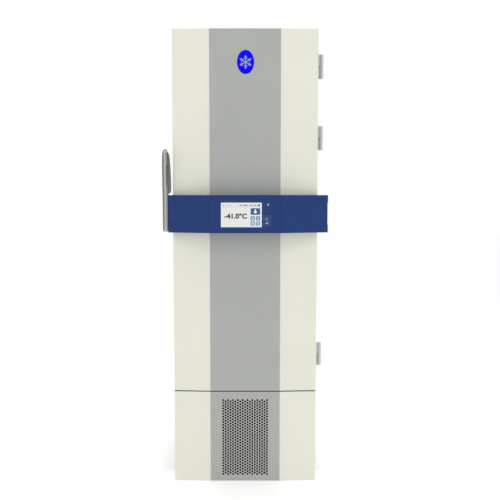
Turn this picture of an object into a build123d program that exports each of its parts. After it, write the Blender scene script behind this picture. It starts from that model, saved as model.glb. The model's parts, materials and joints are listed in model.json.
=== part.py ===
"""Upright ultra-low-temperature laboratory freezer, in millimetres.

+X is to the right of someone facing the door, +Y runs to the back and +Z is up. The origin is the
centre of the freezer's footprint on the floor.
"""

import math
import os

from build123d import *

# ---- driving dimensions -------------------------------------------------------------------------
HEIGHT = 1990.0
HALF_W = 315.0  # cabinet and door half width
HALF_DEPTH = 420.0  # from the control band's front to the wall bumpers
SHEET = 2.0  # painted steel sheet
HALF_FACET = 154.0  # half width of the flat middle facet of the front
SWEEP = 10.5  # how far the front's outer edges stand behind its middle facet
PANEL_GAP = 0.5  # hairline beside the grey middle panels
BAND_PROUD = 72.0  # control band in front of the middle facet
SEAM_Z = 410.6  # middle of the joint between door and base cover
SEAM_GAP = 4.0

FACE_Y = -HALF_DEPTH + BAND_PROUD
SIDE_Y = FACE_Y + SWEEP
DOOR_BACK_Y = -240.0
FRAME_Y = -232.0  # cabinet front face, one gasket behind the door
REAR_Y = 400.0
CABINET_TOP_Z = HEIGHT - 2.0
DOOR_BOTTOM_Z = SEAM_Z + SEAM_GAP / 2
COVER_TOP_Z = SEAM_Z - SEAM_GAP / 2
DECK_Z = DOOR_BOTTOM_Z  # underside of the insulated cabinet
CHASSIS_Z = 88.0
CHASSIS_T = 4.0
SKIRT_Z = 3.0

# cold space: a wider recess for the inner doors, then the storage space
RECESS_HALF_W = 245.0
RECESS_LOW_Z, RECESS_HIGH_Z = DECK_Z + 70.0, CABINET_TOP_Z - 70.0
STEP_Y = -158.0
STORE_HALF_W = 225.0
STORE_LOW_Z, STORE_HIGH_Z = RECESS_LOW_Z + 22.0, RECESS_HIGH_Z - 22.0
STORE_BACK_Y = 292.0
LINER_T = 2.0
FRAME_T = 6.0

# door hinge line and lever
HINGE_X, HINGE_Y = 337.3, -231.0
KNUCKLE_R, PIN_R, PIN_PLAY = 11.2, 5.0, 0.06
KNUCKLE_H, KNUCKLE_GAP = 52.5, 1.0
HINGE_ZS = (1795.5, 1481.0, 502.5)  # foot of each hinge
BAND_LOW_Z, BAND_HIGH_Z = 1118.0, 1280.0
BAND_RIGHT_X, BAND_LEFT_X = 360.5, -333.5
BAND_SWEEP = 64.0 / (BAND_RIGHT_X - HALF_FACET)  # rise per millimetre of wing
BAND_BACK_Y = -290.0
BAND_WALL = 4.0
LEVER_Y, LEVER_Z = -340.0, 1160.0  # lever pivot

PARTS = {}


def block(x0, x1, y0, y1, z0, z1):
    """A box between two corners."""
    centre = Pos((x0 + x1) / 2, (y0 + y1) / 2, (z0 + z1) / 2)
    return centre * Box(abs(x1 - x0), abs(y1 - y0), abs(z1 - z0))


def rod(start, direction, length, radius):
    """A round bar from a point along a direction."""
    plane = Plane(origin=start, z_dir=direction)
    return plane * Cylinder(radius, length, align=(Align.CENTER, Align.CENTER, Align.MIN))


def tube(start, direction, length, outer, inner):
    return rod(start, direction, length, outer) - rod(start, direction, length, inner)


def prism(points, z0, z1):
    """A closed outline in X and Y, raised from z0 to z1."""
    face = make_face(Polyline(*[(x, y, z0) for x, y in points], close=True))
    return extrude(face, amount=z1 - z0, dir=(0, 0, 1))


def pipe(points, radii, radius):
    """A round tube's outer shape along straight runs joined by arcs."""
    path = FilletPolyline(*points, radius=radii)
    first = Vector(*points[1]) - Vector(*points[0])
    profile = Plane(origin=points[0], z_dir=first) * Circle(radius)
    return sweep(profile, path=path)


def front_outline(inset, middle_inset, back_y):
    """The faceted front's plan: flat in the middle, swept back to both sides."""
    w, y = HALF_W - inset, SIDE_Y + inset
    middle = FACE_Y + middle_inset
    return [(-w, back_y), (-w, y), (-HALF_FACET, middle), (HALF_FACET, middle), (w, y), (w, back_y)]


def ring(outer_w, low, high, width, y0, y1):
    """Four straight strips round an upright rectangle, uprights first."""
    strips = [block(side * outer_w, side * (outer_w - width), y0, y1, low, high) for side in (-1, 1)]
    inner_w = outer_w - width
    strips += [block(-inner_w, inner_w, y0, y1, z, z + width) for z in (low, high - width)]
    return strips


def keep(name, *shapes):
    """Names a node made of one or more solids."""
    solids = [s for shape in shapes for s in shape.solids()]
    PARTS[name] = Compound(children=solids) if len(solids) > 1 else solids[0]


# ---- cabinet ------------------------------------------------------------------------------------
PORT_X, PORT_Z, PORT_R, PORT_WALL = -150.0, 1760.0, 14.0, 2.0


def cabinet_shell():
    for name, side in (("side_panel_left", -1), ("side_panel_right", 1)):
        inner, outer = side * (HALF_W - SHEET), side * HALF_W
        keep(name, block(inner, outer, FRAME_Y, REAR_Y, CHASSIS_Z, CABINET_TOP_Z))
    inside = HALF_W - SHEET
    keep("top_panel", block(-inside, inside, FRAME_Y, REAR_Y, CABINET_TOP_Z - SHEET, CABINET_TOP_Z))
    rear = block(-inside, inside, REAR_Y - SHEET, REAR_Y, DECK_Z, CABINET_TOP_Z - SHEET)
    rear -= rod((PORT_X, REAR_Y - 10, PORT_Z), (0, 1, 0), 20, PORT_R + PORT_WALL)
    keep("rear_panel", rear)
    keep("machine_deck", block(-inside, inside, FRAME_Y, REAR_Y, DECK_Z - SHEET, DECK_Z))
    y0, y1, w = FRAME_Y, FRAME_Y + FRAME_T, RECESS_HALF_W
    strips = [block(side * w, side * inside, y0, y1, DECK_Z, CABINET_TOP_Z - SHEET)
              for side in (-1, 1)]
    strips.append(block(-w, w, y0, y1, DECK_Z, RECESS_LOW_Z))
    strips.append(block(-w, w, y0, y1, RECESS_HIGH_Z, CABINET_TOP_Z - SHEET))
    keep("breaker_frame", *strips)


def box_walls(half_w, low, high, y0, y1):
    """Two sides, a floor and a ceiling of sheet round a space of the given size."""
    t = LINER_T
    sides = [block(side * half_w, side * (half_w + t), y0, y1, low - t, high + t)
             for side in (-1, 1)]
    return sides + [block(-half_w, half_w, y0, y1, z, z + t) for z in (low - t, high)]


def liner():
    """Welded stainless sheets: the recess, the step that the inner doors close on, and the store."""
    t, w, low, high = LINER_T, STORE_HALF_W, STORE_LOW_Z, STORE_HIGH_Z
    sheets = box_walls(RECESS_HALF_W, RECESS_LOW_Z, RECESS_HIGH_Z, FRAME_Y + FRAME_T, STEP_Y)
    sheets += box_walls(w, low, high, STEP_Y + t, STORE_BACK_Y)
    outer_w = RECESS_HALF_W + t
    sheets += [block(side * w, side * outer_w, STEP_Y, STEP_Y + t, RECESS_LOW_Z - t,
                     RECESS_HIGH_Z + t) for side in (-1, 1)]
    sheets += [block(-w, w, STEP_Y, STEP_Y + t, RECESS_LOW_Z - t, low),
               block(-w, w, STEP_Y, STEP_Y + t, high, RECESS_HIGH_Z + t)]
    back = block(-w - t, w + t, STORE_BACK_Y, STORE_BACK_Y + t, low - t, high + t)
    back -= rod((PORT_X, STORE_BACK_Y - 5, PORT_Z), (0, 1, 0), 20, PORT_R + PORT_WALL)
    keep("inner_liner", *sheets, back)


COIL_R, COIL_LOOPS = 5.0, 9
COIL_PITCH = (STORE_HIGH_Z - STORE_LOW_Z) / COIL_LOOPS
COIL_WALL = STORE_HALF_W + LINER_T + COIL_R + 1.0
COIL_BACK = STORE_BACK_Y + LINER_T + COIL_R + 1.0
COIL_FRONT_Y = -120.0


def evaporator():
    """Tube loops wrapped round the storage space's two sides and back, one above the other."""
    points = []
    for loop in range(COIL_LOOPS):
        z = STORE_LOW_Z + COIL_PITCH * (loop + 0.5)
        run = [(-COIL_WALL, COIL_FRONT_Y, z), (-COIL_WALL, COIL_BACK, z),
               (COIL_WALL, COIL_BACK, z), (COIL_WALL, COIL_FRONT_Y, z)]
        points += run if loop % 2 == 0 else run[::-1]
    path = FilletPolyline(*points, radius=24)
    profile = Plane(origin=points[0], z_dir=(0, 1, 0)) * Circle(COIL_R)
    keep("evaporator_coil", sweep(profile, path=path))


def insulation():
    """Foam between the shell and the liner, clear of the evaporator tubes on the liner's sides."""
    inside, t = HALF_W - SHEET, LINER_T
    foam = block(-inside, inside, FRAME_Y + FRAME_T, REAR_Y - SHEET, DECK_Z, CABINET_TOP_Z - SHEET)
    foam -= block(-RECESS_HALF_W - t, RECESS_HALF_W + t, FRAME_Y, STEP_Y + t,
                  RECESS_LOW_Z - t, RECESS_HIGH_Z + t)
    foam -= block(-STORE_HALF_W - t, STORE_HALF_W + t, STEP_Y, STORE_BACK_Y + t,
                  STORE_LOW_Z - t, STORE_HIGH_Z + t)
    jacket_w, jacket_y = COIL_WALL + COIL_R + 1, COIL_BACK + COIL_R + 1
    foam -= block(-jacket_w, jacket_w, COIL_FRONT_Y - COIL_R - 1, jacket_y,
                  STORE_LOW_Z + COIL_PITCH * 0.3, STORE_HIGH_Z - COIL_PITCH * 0.3)
    foam -= rod((PORT_X, 200, PORT_Z), (0, 1, 0), 300, PORT_R + PORT_WALL)
    keep("cabinet_insulation", foam)


def access_port():
    """Sensor feed-through: a flanged sleeve through the back wall, closed by a soft bung."""
    length = REAR_Y - STORE_BACK_Y
    sleeve = tube((PORT_X, STORE_BACK_Y, PORT_Z), (0, 1, 0), length + 4, PORT_R + PORT_WALL, PORT_R)
    sleeve += tube((PORT_X, REAR_Y, PORT_Z), (0, 1, 0), 4, PORT_R + 9, PORT_R)
    bung = rod((PORT_X, REAR_Y - 45, PORT_Z), (0, 1, 0), 50, PORT_R - 0.3)
    bung += rod((PORT_X, REAR_Y + 4.3, PORT_Z), (0, 1, 0), 8, PORT_R + 4)
    keep("access_port", sleeve, bung)


BUMPER_R = 20.0


def bumpers():
    keep("wall_bumpers", *[rod((x, REAR_Y, z), (0, 1, 0), HALF_DEPTH - REAR_Y, BUMPER_R)
                           for x in (-250, 250) for z in (520, 1880)])


# ---- storage space ------------------------------------------------------------------------------
COMPARTMENTS = 4
SHELF_T, SHELF_LIP = 2.0, 18.0
SHELF_FRONT_Y, SHELF_REAR_Y = STEP_Y + 6.0, STORE_BACK_Y - 8.0
RAIL_W, RAIL_T = 20.0, 6.0
RAIL_YS = (-110.0, 230.0)
COMPARTMENT_H = (STORE_HIGH_Z - STORE_LOW_Z) / COMPARTMENTS


def shelf_z(index):
    """Top face of a shelf, counted from the lowest."""
    return STORE_LOW_Z + COMPARTMENT_H * (index + 1)


def shelves():
    half = STORE_HALF_W - RAIL_T - 2.0
    solids = []
    for index in range(COMPARTMENTS - 1):
        z = shelf_z(index)
        shelf = block(-half, half, SHELF_FRONT_Y, SHELF_REAR_Y, z - SHELF_T, z)
        for y in (SHELF_FRONT_Y, SHELF_REAR_Y - SHELF_T):
            shelf += block(-half, half, y, y + SHELF_T, z - SHELF_LIP, z)
        for side in (-1, 1):
            shelf += block(side * (half - SHELF_T), side * half, SHELF_FRONT_Y, SHELF_REAR_Y,
                           z - SHELF_LIP, z)
        solids.append(shelf)
    keep("shelves", *solids)


def shelf_rails():
    """Four slotted uprights, each with a peg under every shelf."""
    solids = []
    for side in (-1, 1):
        wall = side * STORE_HALF_W
        for y in RAIL_YS:
            rail = block(wall - side * RAIL_T, wall, y, y + RAIL_W, STORE_LOW_Z + 10,
                         STORE_HIGH_Z - 10)
            for index in range(COMPARTMENTS - 1):
                z = shelf_z(index) - SHELF_LIP
                rail += block(wall - side * (RAIL_T + 14), wall - side * RAIL_T, y + 4,
                              y + RAIL_W - 4, z - 5, z)
            solids.append(rail)
    keep("shelf_rails", *solids)


# ---- inner doors --------------------------------------------------------------------------------
INNER_HALF_W, INNER_FRONT_Y, INNER_T = 240.0, -196.0, 30.0
INNER_EDGE_R = 2.0  # the doors turn about the axis of this rounded edge
INNER_SPLIT = 2.0  # half of the gap between the two inner doors
MIDDLE_Z = shelf_z(1) - SHELF_T / 2
SEAL_W, SEAL_INSET = 10.0, 8.0


def inner_doors():
    back = INNER_FRONT_Y + INNER_T
    spans = {"lower": (RECESS_LOW_Z + 4, MIDDLE_Z - INNER_SPLIT),
             "upper": (MIDDLE_Z + INNER_SPLIT, RECESS_HIGH_Z - 4)}
    for name, (low, high) in spans.items():
        slab = block(-INNER_HALF_W, INNER_HALF_W, INNER_FRONT_Y, back, low, high)
        slab = fillet(slab.edges().filter_by(Axis.Z), radius=INNER_EDGE_R)
        panel = block(-INNER_HALF_W + 34, INNER_HALF_W - 34, INNER_FRONT_Y - 1, INNER_FRONT_Y + 4,
                      low + 34, high - 34)
        slab -= fillet(panel.edges().filter_by(Axis.Y), radius=14)
        keep("inner_seal_" + name, *ring(INNER_HALF_W - SEAL_INSET, low + SEAL_INSET,
                                         high - SEAL_INSET, SEAL_W, back, STEP_Y - 0.4))
        tab_z = (low + high) / 2
        tab = block(-INNER_HALF_W + 8, -INNER_HALF_W + 28, INNER_FRONT_Y - 8, INNER_FRONT_Y,
                    tab_z - 45, tab_z + 45)
        keep("inner_door_" + name, slab, fillet(tab.edges().filter_by(Axis.Y), radius=6))


# ---- outer door ---------------------------------------------------------------------------------
PLUG_PLAY, PLUG_BACK_Y = 7.0, -208.0
PLUG_HALF_W = RECESS_HALF_W - PLUG_PLAY
PLUG_LOW_Z, PLUG_HIGH_Z = RECESS_LOW_Z + PLUG_PLAY, RECESS_HIGH_Z - PLUG_PLAY


def door_shell():
    outer = prism(front_outline(0, SHEET, DOOR_BACK_Y), DOOR_BOTTOM_Z, HEIGHT)
    cavity = prism(front_outline(SHEET, 2 * SHEET, DOOR_BACK_Y + 1), DOOR_BOTTOM_Z + SHEET,
                   HEIGHT - SHEET)
    keep("door_skin", outer - cavity)
    w = HALF_FACET - PANEL_GAP
    keep("door_centre_panel", block(-w, w, FACE_Y, FACE_Y + SHEET, DOOR_BOTTOM_Z, HEIGHT))


def door_inside():
    inside, t = HALF_W - SHEET, SHEET
    low, high = DOOR_BOTTOM_Z + SHEET, HEIGHT - SHEET
    panel = block(-inside, inside, DOOR_BACK_Y - t, DOOR_BACK_Y, low, high)
    panel += block(-PLUG_HALF_W, PLUG_HALF_W, DOOR_BACK_Y - t, PLUG_BACK_Y, PLUG_LOW_Z, PLUG_HIGH_Z)
    hollow = block(-PLUG_HALF_W + t, PLUG_HALF_W - t, DOOR_BACK_Y - t, PLUG_BACK_Y - t,
                   PLUG_LOW_Z + t, PLUG_HIGH_Z - t)
    keep("door_inner_panel", panel - hollow)
    foam = prism(front_outline(SHEET, 2 * SHEET, DOOR_BACK_Y - t), low, high)
    keep("door_insulation", foam + hollow)


GASKET_INSET, GASKET_W = 16.0, 46.0


def door_gasket():
    """Magnetic bellows gasket round the plug, between the door and the cabinet's frame."""
    keep("door_gasket", *ring(HALF_W - GASKET_INSET, DOOR_BOTTOM_Z + GASKET_INSET,
                              HEIGHT - GASKET_INSET, GASKET_W, DOOR_BACK_Y, FRAME_Y - 0.4))


LEAF_T, LEAF_L, WEB_T = 4.5, 62.0, 9.0


def hinges():
    """Lift-off hinges: the door's knuckle sits above the cabinet's, on one pin."""
    door_leaves, cabinet_leaves, pins = [], [], []
    for foot in HINGE_ZS:
        top = foot + 2 * KNUCKLE_H + KNUCKLE_GAP
        middle = foot + KNUCKLE_H
        lower = rod((HINGE_X, HINGE_Y, foot), (0, 0, 1), KNUCKLE_H, KNUCKLE_R)
        lower += block(HALF_W, HINGE_X - 5, DOOR_BACK_Y + 0.5, HINGE_Y + WEB_T, foot, middle)
        lower += block(HALF_W, HALF_W + LEAF_T, HINGE_Y + 4, HINGE_Y + LEAF_L, foot, top)
        cabinet_leaves.append(lower - rod((HINGE_X, HINGE_Y, foot - 1), (0, 0, 1), 200, PIN_R))
        upper = rod((HINGE_X, HINGE_Y, middle + KNUCKLE_GAP), (0, 0, 1), KNUCKLE_H, KNUCKLE_R)
        upper += block(HALF_W, HINGE_X - 5, HINGE_Y - 2 - WEB_T, HINGE_Y - 2,
                       middle + KNUCKLE_GAP, top)
        upper += block(HALF_W, HALF_W + LEAF_T, HINGE_Y - LEAF_L - 9, DOOR_BACK_Y, foot, top)
        door_leaves.append(upper - rod((HINGE_X, HINGE_Y, foot - 1), (0, 0, 1), 200,
                                       PIN_R + PIN_PLAY))
        pins.append(rod((HINGE_X, HINGE_Y, foot), (0, 0, 1), top - foot - 4, PIN_R))
    keep("door_hinge_leaves", *door_leaves)
    keep("cabinet_hinge_leaves", *cabinet_leaves, *pins)


EMBLEM_X, EMBLEM_Z, EMBLEM_T = 2.0, 1848.5, 1.2
EMBLEM_HALF_W, EMBLEM_HALF_H, CRYSTAL_R = 36.5, 50.5, 29.0


def emblem():
    """An upright oval badge with a plain six-armed snow crystal cut out of it."""
    arm = block(-2.0, 2.0, -EMBLEM_T, EMBLEM_T, 0, CRYSTAL_R)
    for height, reach in ((13.0, 9.0), (20.0, 7.0)):
        for side in (-1, 1):
            twig = block(-1.5, 1.5, -EMBLEM_T, EMBLEM_T, 0, reach)
            arm += Pos(0, 0, height) * (Rot(0, side * 60, 0) * twig)
    badge = extrude(Plane.XZ * Ellipse(EMBLEM_HALF_W, EMBLEM_HALF_H), amount=EMBLEM_T)
    for turn in range(6):
        badge -= Rot(0, 60 * turn, 0) * arm
    keep("emblem", Pos(EMBLEM_X, FACE_Y, EMBLEM_Z) * badge)


# ---- control band and display -------------------------------------------------------------------
GLASS_X, GLASS_Z, GLASS_W, GLASS_H, GLASS_T = 2.0, 1197.0, 219.0, 128.0, 2.5
GLASS_BED = 0.4  # adhesive and air behind the glass
LCD_X, LCD_Z, LCD_W, LCD_H, LCD_T = -16.0, 1195.6, 184.0, 116.0, 9.0


def band_outline(wall):
    """The band's plan, shrunk by a wall thickness."""
    front = -HALF_DEPTH + wall
    left, right = BAND_LEFT_X + wall, BAND_RIGHT_X - wall
    left_y = front + BAND_SWEEP * (-HALF_FACET - left)
    right_y = front + BAND_SWEEP * (right - HALF_FACET)
    back = BAND_BACK_Y + (1 if wall else 0)
    return [(left, back), (left, left_y), (-HALF_FACET, front), (HALF_FACET, front),
            (right, right_y), (right, back)]


PAD_NEAR_X, PAD_LOW_Z, PAD_HIGH_Z, PAD_DEPTH, PAD_R = 250.0, 1151.0, 1248.0, 2.0, 9.0


def wing_pad(end_x):
    """Cutter for the shallow pad sunk in a wing's face and carried round the wing's end."""
    side = math.copysign(1, end_x)
    depth = PAD_DEPTH / math.cos(math.atan(BAND_SWEEP))
    near, far = PAD_NEAR_X, abs(end_x) - PAD_DEPTH

    def face_y(x):
        return -HALF_DEPTH + BAND_SWEEP * (x - HALF_FACET)

    plan = [(near, face_y(near) - 20), (near, face_y(near) + depth), (far, face_y(far) + depth),
            (far, BAND_BACK_Y + 5), (far + 20, BAND_BACK_Y + 5), (far + 20, face_y(near) - 20)]
    cutter = prism([(side * x, y) for x, y in plan], PAD_LOW_Z, PAD_HIGH_Z)
    corners = [e for e in cutter.edges().filter_by(Axis.Y) if abs(abs(e.center().X) - near) < 0.01]
    return fillet(corners, radius=PAD_R)


def band():
    """Hollow bowed cover in three mouldings: the display housing and a wing on each side."""
    front = -HALF_DEPTH
    shell = prism(band_outline(0), BAND_LOW_Z, BAND_HIGH_Z)
    shell = fillet(shell.edges().filter_by(Axis.Z).sort_by(Axis.Y)[:4], radius=5)
    shell -= prism(band_outline(BAND_WALL), BAND_LOW_Z + BAND_WALL, BAND_HIGH_Z - BAND_WALL)
    shell -= prism(front_outline(0, 0, BAND_BACK_Y + 2), BAND_LOW_Z - 5, BAND_HIGH_Z + 5)
    w, h = GLASS_W / 2 + 0.3, GLASS_H / 2 + 0.3
    shell -= block(GLASS_X - w, GLASS_X + w, front - 1, front + GLASS_T + GLASS_BED,
                   GLASS_Z - h, GLASS_Z + h)
    shell -= block(LCD_X - LCD_W / 2, LCD_X + LCD_W / 2, front - 1, front + 10,
                   LCD_Z - LCD_H / 2, LCD_Z + LCD_H / 2)
    shell -= rod((BAND_LEFT_X - 1, LEVER_Y, LEVER_Z), (1, 0, 0), 10, BUSH_R)
    for end_x, side in ((BAND_LEFT_X, -1), (BAND_RIGHT_X, 1)):
        shell -= wing_pad(end_x)
        shell -= block(side * HALF_FACET, side * (HALF_FACET + PANEL_GAP), front - 1, 0,
                       BAND_LOW_Z - 1, BAND_HIGH_Z + 1)
    keep("band_cover", shell)


BOARD_Y = -378.0


def electronics():
    back = -HALF_DEPTH + GLASS_T
    glass = block(GLASS_X - GLASS_W / 2, GLASS_X + GLASS_W / 2, -HALF_DEPTH, back,
                  GLASS_Z - GLASS_H / 2, GLASS_Z + GLASS_H / 2)
    keep("display_glass", fillet(glass.edges().filter_by(Axis.Y), radius=4))
    front = back + GLASS_BED
    keep("lcd_module", block(LCD_X - LCD_W / 2 + 1, LCD_X + LCD_W / 2 - 1, front, front + LCD_T,
                             LCD_Z - LCD_H / 2 + 1, LCD_Z + LCD_H / 2 - 1))
    board = block(-100, 110, BOARD_Y, BOARD_Y + 2, 1140, 1255)
    for x, z, w, h, t in ((-60, 1225, 34, 34, 4), (20, 1175, 46, 28, 9), (80, 1230, 24, 18, 12)):
        board += block(x - w / 2, x + w / 2, BOARD_Y + 2, BOARD_Y + 2 + t, z - h / 2, z + h / 2)
    keep("control_board", board)
    bracket = block(-150, 150, FACE_Y - 2, FACE_Y, 1126, 1272)
    for x in (-95, 105):
        for z in (1146, 1249):
            bracket += rod((x, FACE_Y - 2, z), (0, -1, 0), FACE_Y - 2 - BOARD_Y - 2, 4)
    keep("band_bracket", bracket)


# ---- lever, shaft and latch ---------------------------------------------------------------------
SHAFT_R, SHAFT_PLAY, BUSH_R = 6.0, 0.05, 9.0
SHAFT_END_X = -316.0
HOOK_X0, HOOK_X1 = -326.5, -319.5
HOOK_TIP_Y = -189.0
ROLLER_Y, ROLLER_Z, ROLLER_R = -205.0, 1142.0, 6.0
HOOK_FOOT_Z = ROLLER_Z + ROLLER_R + 1.5
LEVER_X0, LEVER_X1 = -358.0, -334.5
LEVER_STEM_INSET = 1.5  # outer side of the slim lower part
LEVER_LOW_Z, LEVER_HIGH_Z = 1119.5, 1478.0


def lever():
    """Upright lever outside the band's left end: slim below, swelling into the grip above."""
    side = [(LEVER_Y - 20, LEVER_LOW_Z + 12), (LEVER_Y - 19, 1250), (LEVER_Y - 24, 1330),
            (LEVER_Y - 30, 1420), (LEVER_Y - 26, LEVER_HIGH_Z - 10), (LEVER_Y - 12, LEVER_HIGH_Z),
            (LEVER_Y + 2, LEVER_HIGH_Z - 8), (LEVER_Y + 8, 1400), (LEVER_Y + 14, 1300),
            (LEVER_Y + 20, 1200), (LEVER_Y + 20, LEVER_LOW_Z + 12), (LEVER_Y + 8, LEVER_LOW_Z),
            (LEVER_Y - 8, LEVER_LOW_Z)]
    profile = make_face(Polyline(*[(LEVER_X0, y, z) for y, z in side], close=True))
    bar = extrude(profile, amount=LEVER_X1 - LEVER_X0, dir=(1, 0, 0))
    front = [(LEVER_X0 + LEVER_STEM_INSET, 1100), (LEVER_X0 + LEVER_STEM_INSET, 1236), (LEVER_X0, 1252),
             (LEVER_X0, LEVER_HIGH_Z - 16), (LEVER_X0 + 4, LEVER_HIGH_Z - 4),
             (LEVER_X0 + 12, LEVER_HIGH_Z + 1), (LEVER_X1 - 4, LEVER_HIGH_Z - 4),
             (LEVER_X1, LEVER_HIGH_Z - 24), (LEVER_X1, 1100)]
    outline = make_face(Polyline(*[(x, LEVER_Y - 60, z) for x, z in front], close=True))
    bar = bar & extrude(outline, amount=120, dir=(0, 1, 0))
    bar -= rod((LEVER_X1 - 16, LEVER_Y, LEVER_Z), (1, 0, 0), 40, SHAFT_R)
    keep("lever_handle", bar)
    inner = [(LEVER_X1, 1286), (-325.0, 1290), (-322.0, 1304), (-322.0, 1340), (-324.5, 1400),
             (-328.5, 1450), (LEVER_X1, 1466)]
    pad = make_face(Polyline(*[(x, LEVER_Y - 18, z) for x, z in inner], close=True))
    keep("lever_grip_pad", extrude(pad, amount=24, dir=(0, 1, 0)))
    shaft = rod((LEVER_X1 - 16, LEVER_Y, LEVER_Z), (1, 0, 0), SHAFT_END_X - LEVER_X1 + 16, SHAFT_R)
    hook = block(HOOK_X0, HOOK_X1, LEVER_Y, HOOK_TIP_Y, LEVER_Z - 9, LEVER_Z + 9)
    hook += rod((HOOK_X0, LEVER_Y, LEVER_Z), (1, 0, 0), HOOK_X1 - HOOK_X0, 15)
    hook += block(HOOK_X0, HOOK_X1, HOOK_TIP_Y - 9, HOOK_TIP_Y, HOOK_FOOT_Z, LEVER_Z)
    keep("latch_shaft", shaft + hook)


STRIKER_T = 3.0


def latch():
    """Striker plate and roller on the cabinet's side, and the two bearings of the lever's shaft."""
    plate_x = -HALF_W - STRIKER_T
    plate = block(plate_x, -HALF_W, ROLLER_Y - 21, ROLLER_Y + 21, ROLLER_Z - 24, ROLLER_Z + 24)
    keep("latch_striker", plate, rod((plate_x, ROLLER_Y, ROLLER_Z), (-1, 0, 0), 11, ROLLER_R))
    bush = tube((BAND_LEFT_X - 0.7, LEVER_Y, LEVER_Z), (1, 0, 0), BAND_WALL + 0.7, BUSH_R,
                SHAFT_R + SHAFT_PLAY)
    inner = block(-HALF_W - 3.5, -HALF_W, LEVER_Y - 2, LEVER_Y + 44, LEVER_Z - 24, LEVER_Z + 24)
    inner += rod((-HALF_W - 3.5, LEVER_Y + 2, LEVER_Z), (1, 0, 0), 3.5, 14)
    inner &= block(-HALF_W - 3.5, -HALF_W, SIDE_Y + 0.5, LEVER_Y + 44, 0, HEIGHT)
    inner -= rod((-HALF_W - 4, LEVER_Y, LEVER_Z), (1, 0, 0), 10, SHAFT_R + SHAFT_PLAY)
    keep("lever_bearings", bush, inner)


# ---- base cover and grille ----------------------------------------------------------------------
HOLE_PITCH, HOLE_R = 12.5, 4.6
HOLE_COLUMNS, HOLE_ROWS = 10, 28
GRILLE_MIDDLE_Z = 202.0
COVER_BACK_Y = -236.0


def base_cover():
    outer = prism(front_outline(0, SHEET, COVER_BACK_Y), SKIRT_Z, COVER_TOP_Z)
    cavity = prism(front_outline(SHEET, 2 * SHEET, COVER_BACK_Y + 1), SKIRT_Z + SHEET,
                   COVER_TOP_Z - SHEET)
    half_w, half_h = 110.0, 182.0
    window = block(-half_w, half_w, FACE_Y - 1, FACE_Y + 10, GRILLE_MIDDLE_Z - half_h,
                   GRILLE_MIDDLE_Z + half_h)
    keep("base_cover", outer - cavity - window)


def grille():
    """The grey middle sheet with its staggered field of round holes."""
    step_x = HOLE_PITCH * math.sqrt(3)
    low_z = GRILLE_MIDDLE_Z - HOLE_PITCH * (HOLE_ROWS - 1) / 2
    left = -step_x * (HOLE_COLUMNS - 1) / 2
    spots = [(left + step_x * i, low_z + HOLE_PITCH * j)
             for i in range(HOLE_COLUMNS) for j in range(HOLE_ROWS)]
    spots += [(left + step_x * (i + 0.5), low_z + HOLE_PITCH * (j + 0.5))
              for i in range(HOLE_COLUMNS - 1) for j in range(HOLE_ROWS - 1)]
    middle_z = (SKIRT_Z + COVER_TOP_Z) / 2
    plane = Plane(origin=(0, FACE_Y, middle_z), x_dir=(1, 0, 0), z_dir=(0, -1, 0))
    sheet = Rectangle(2 * (HALF_FACET - PANEL_GAP), COVER_TOP_Z - SKIRT_Z)
    sheet -= [Pos(x, z - middle_z) * Circle(HOLE_R) for x, z in spots]
    keep("grille_panel", extrude(plane * sheet, amount=-SHEET))


# ---- machine compartment ------------------------------------------------------------------------
FOOT_X, FOOT_Y = 270.0, -212.0
FOOT_STUD_R, FOOT_PAD_R = 6.0, 22.0
RAIL_H, RAIL_WALL = 30.0, 3.0  # folded edges of the tray


def chassis():
    inside, low, top = HALF_W - SHEET, CHASSIS_Z, CHASSIS_Z + CHASSIS_T
    tray = block(-inside, inside, FRAME_Y + 2, REAR_Y - SHEET, low, top)
    for side in (-1, 1):
        tray += block(side * (inside - RAIL_WALL), side * inside, FRAME_Y + 2, REAR_Y - SHEET, top,
                      top + RAIL_H)
    tray += block(-inside, inside, REAR_Y - SHEET - RAIL_WALL, REAR_Y - SHEET, top, top + RAIL_H)
    for side in (-1, 1):
        tray -= rod((side * FOOT_X, FOOT_Y, low - 1), (0, 0, 1), 20, FOOT_STUD_R + 0.05)
    keep("base_chassis", tray)


def feet():
    """Front jacking feet: a pad, a hexagon and a stud through the chassis."""
    for name, side in (("left", -1), ("right", 1)):
        x = side * FOOT_X
        foot = rod((x, FOOT_Y, 0), (0, 0, 1), 8, FOOT_PAD_R)
        foot += rod((x, FOOT_Y, 8), (0, 0, 1), 120, FOOT_STUD_R)
        foot += Pos(x, FOOT_Y, 20) * extrude(RegularPolygon(11, 6), amount=10)
        keep("jacking_foot_" + name, foot)


COMPRESSORS = {"compressor_high_stage": (-165.0, 255.0, 92.0, 210.0),
               "compressor_low_stage": (85.0, 255.0, 84.0, 190.0)}
GROMMET_H = 14.0


def compressors():
    """Hermetic shells: a drawn pot and lid on a bent foot plate, with rubber mounts."""
    mounts = []
    for name, (x, y, radius, height) in COMPRESSORS.items():
        z = CHASSIS_Z + CHASSIS_T + GROMMET_H
        pot = Pos(x, y, z + height / 2) * Cylinder(radius, height)
        pot = fillet(pot.edges().filter_by(GeomType.CIRCLE), radius=radius * 0.42)
        seam = rod((x, y, z + height * 0.56), (0, 0, 1), 8, radius + 4)
        plate = block(x - radius - 14, x + radius + 14, y - radius * 0.75, y + radius * 0.75, z, z + 4)
        terminal = block(x - 24, x + 24, y - radius - 26, y - radius + 30, z + 60, z + 118)
        for side in (-1, 1):
            for end in (-1, 1):
                spot = (x + side * (radius + 2), y + end * radius * 0.6, CHASSIS_Z + CHASSIS_T)
                mounts.append(rod(spot, (0, 0, 1), GROMMET_H, 9))
        keep(name, pot + seam + plate + terminal)
    keep("compressor_mounts", *mounts)


CONDENSER_Y0, CONDENSER_Y1 = -196.0, -140.0
CONDENSER_HALF_W, CONDENSER_LOW_Z, CONDENSER_HIGH_Z = 140.0, 100.0, 385.0
FIN_COUNT, FIN_T = 22, 1.2


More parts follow.
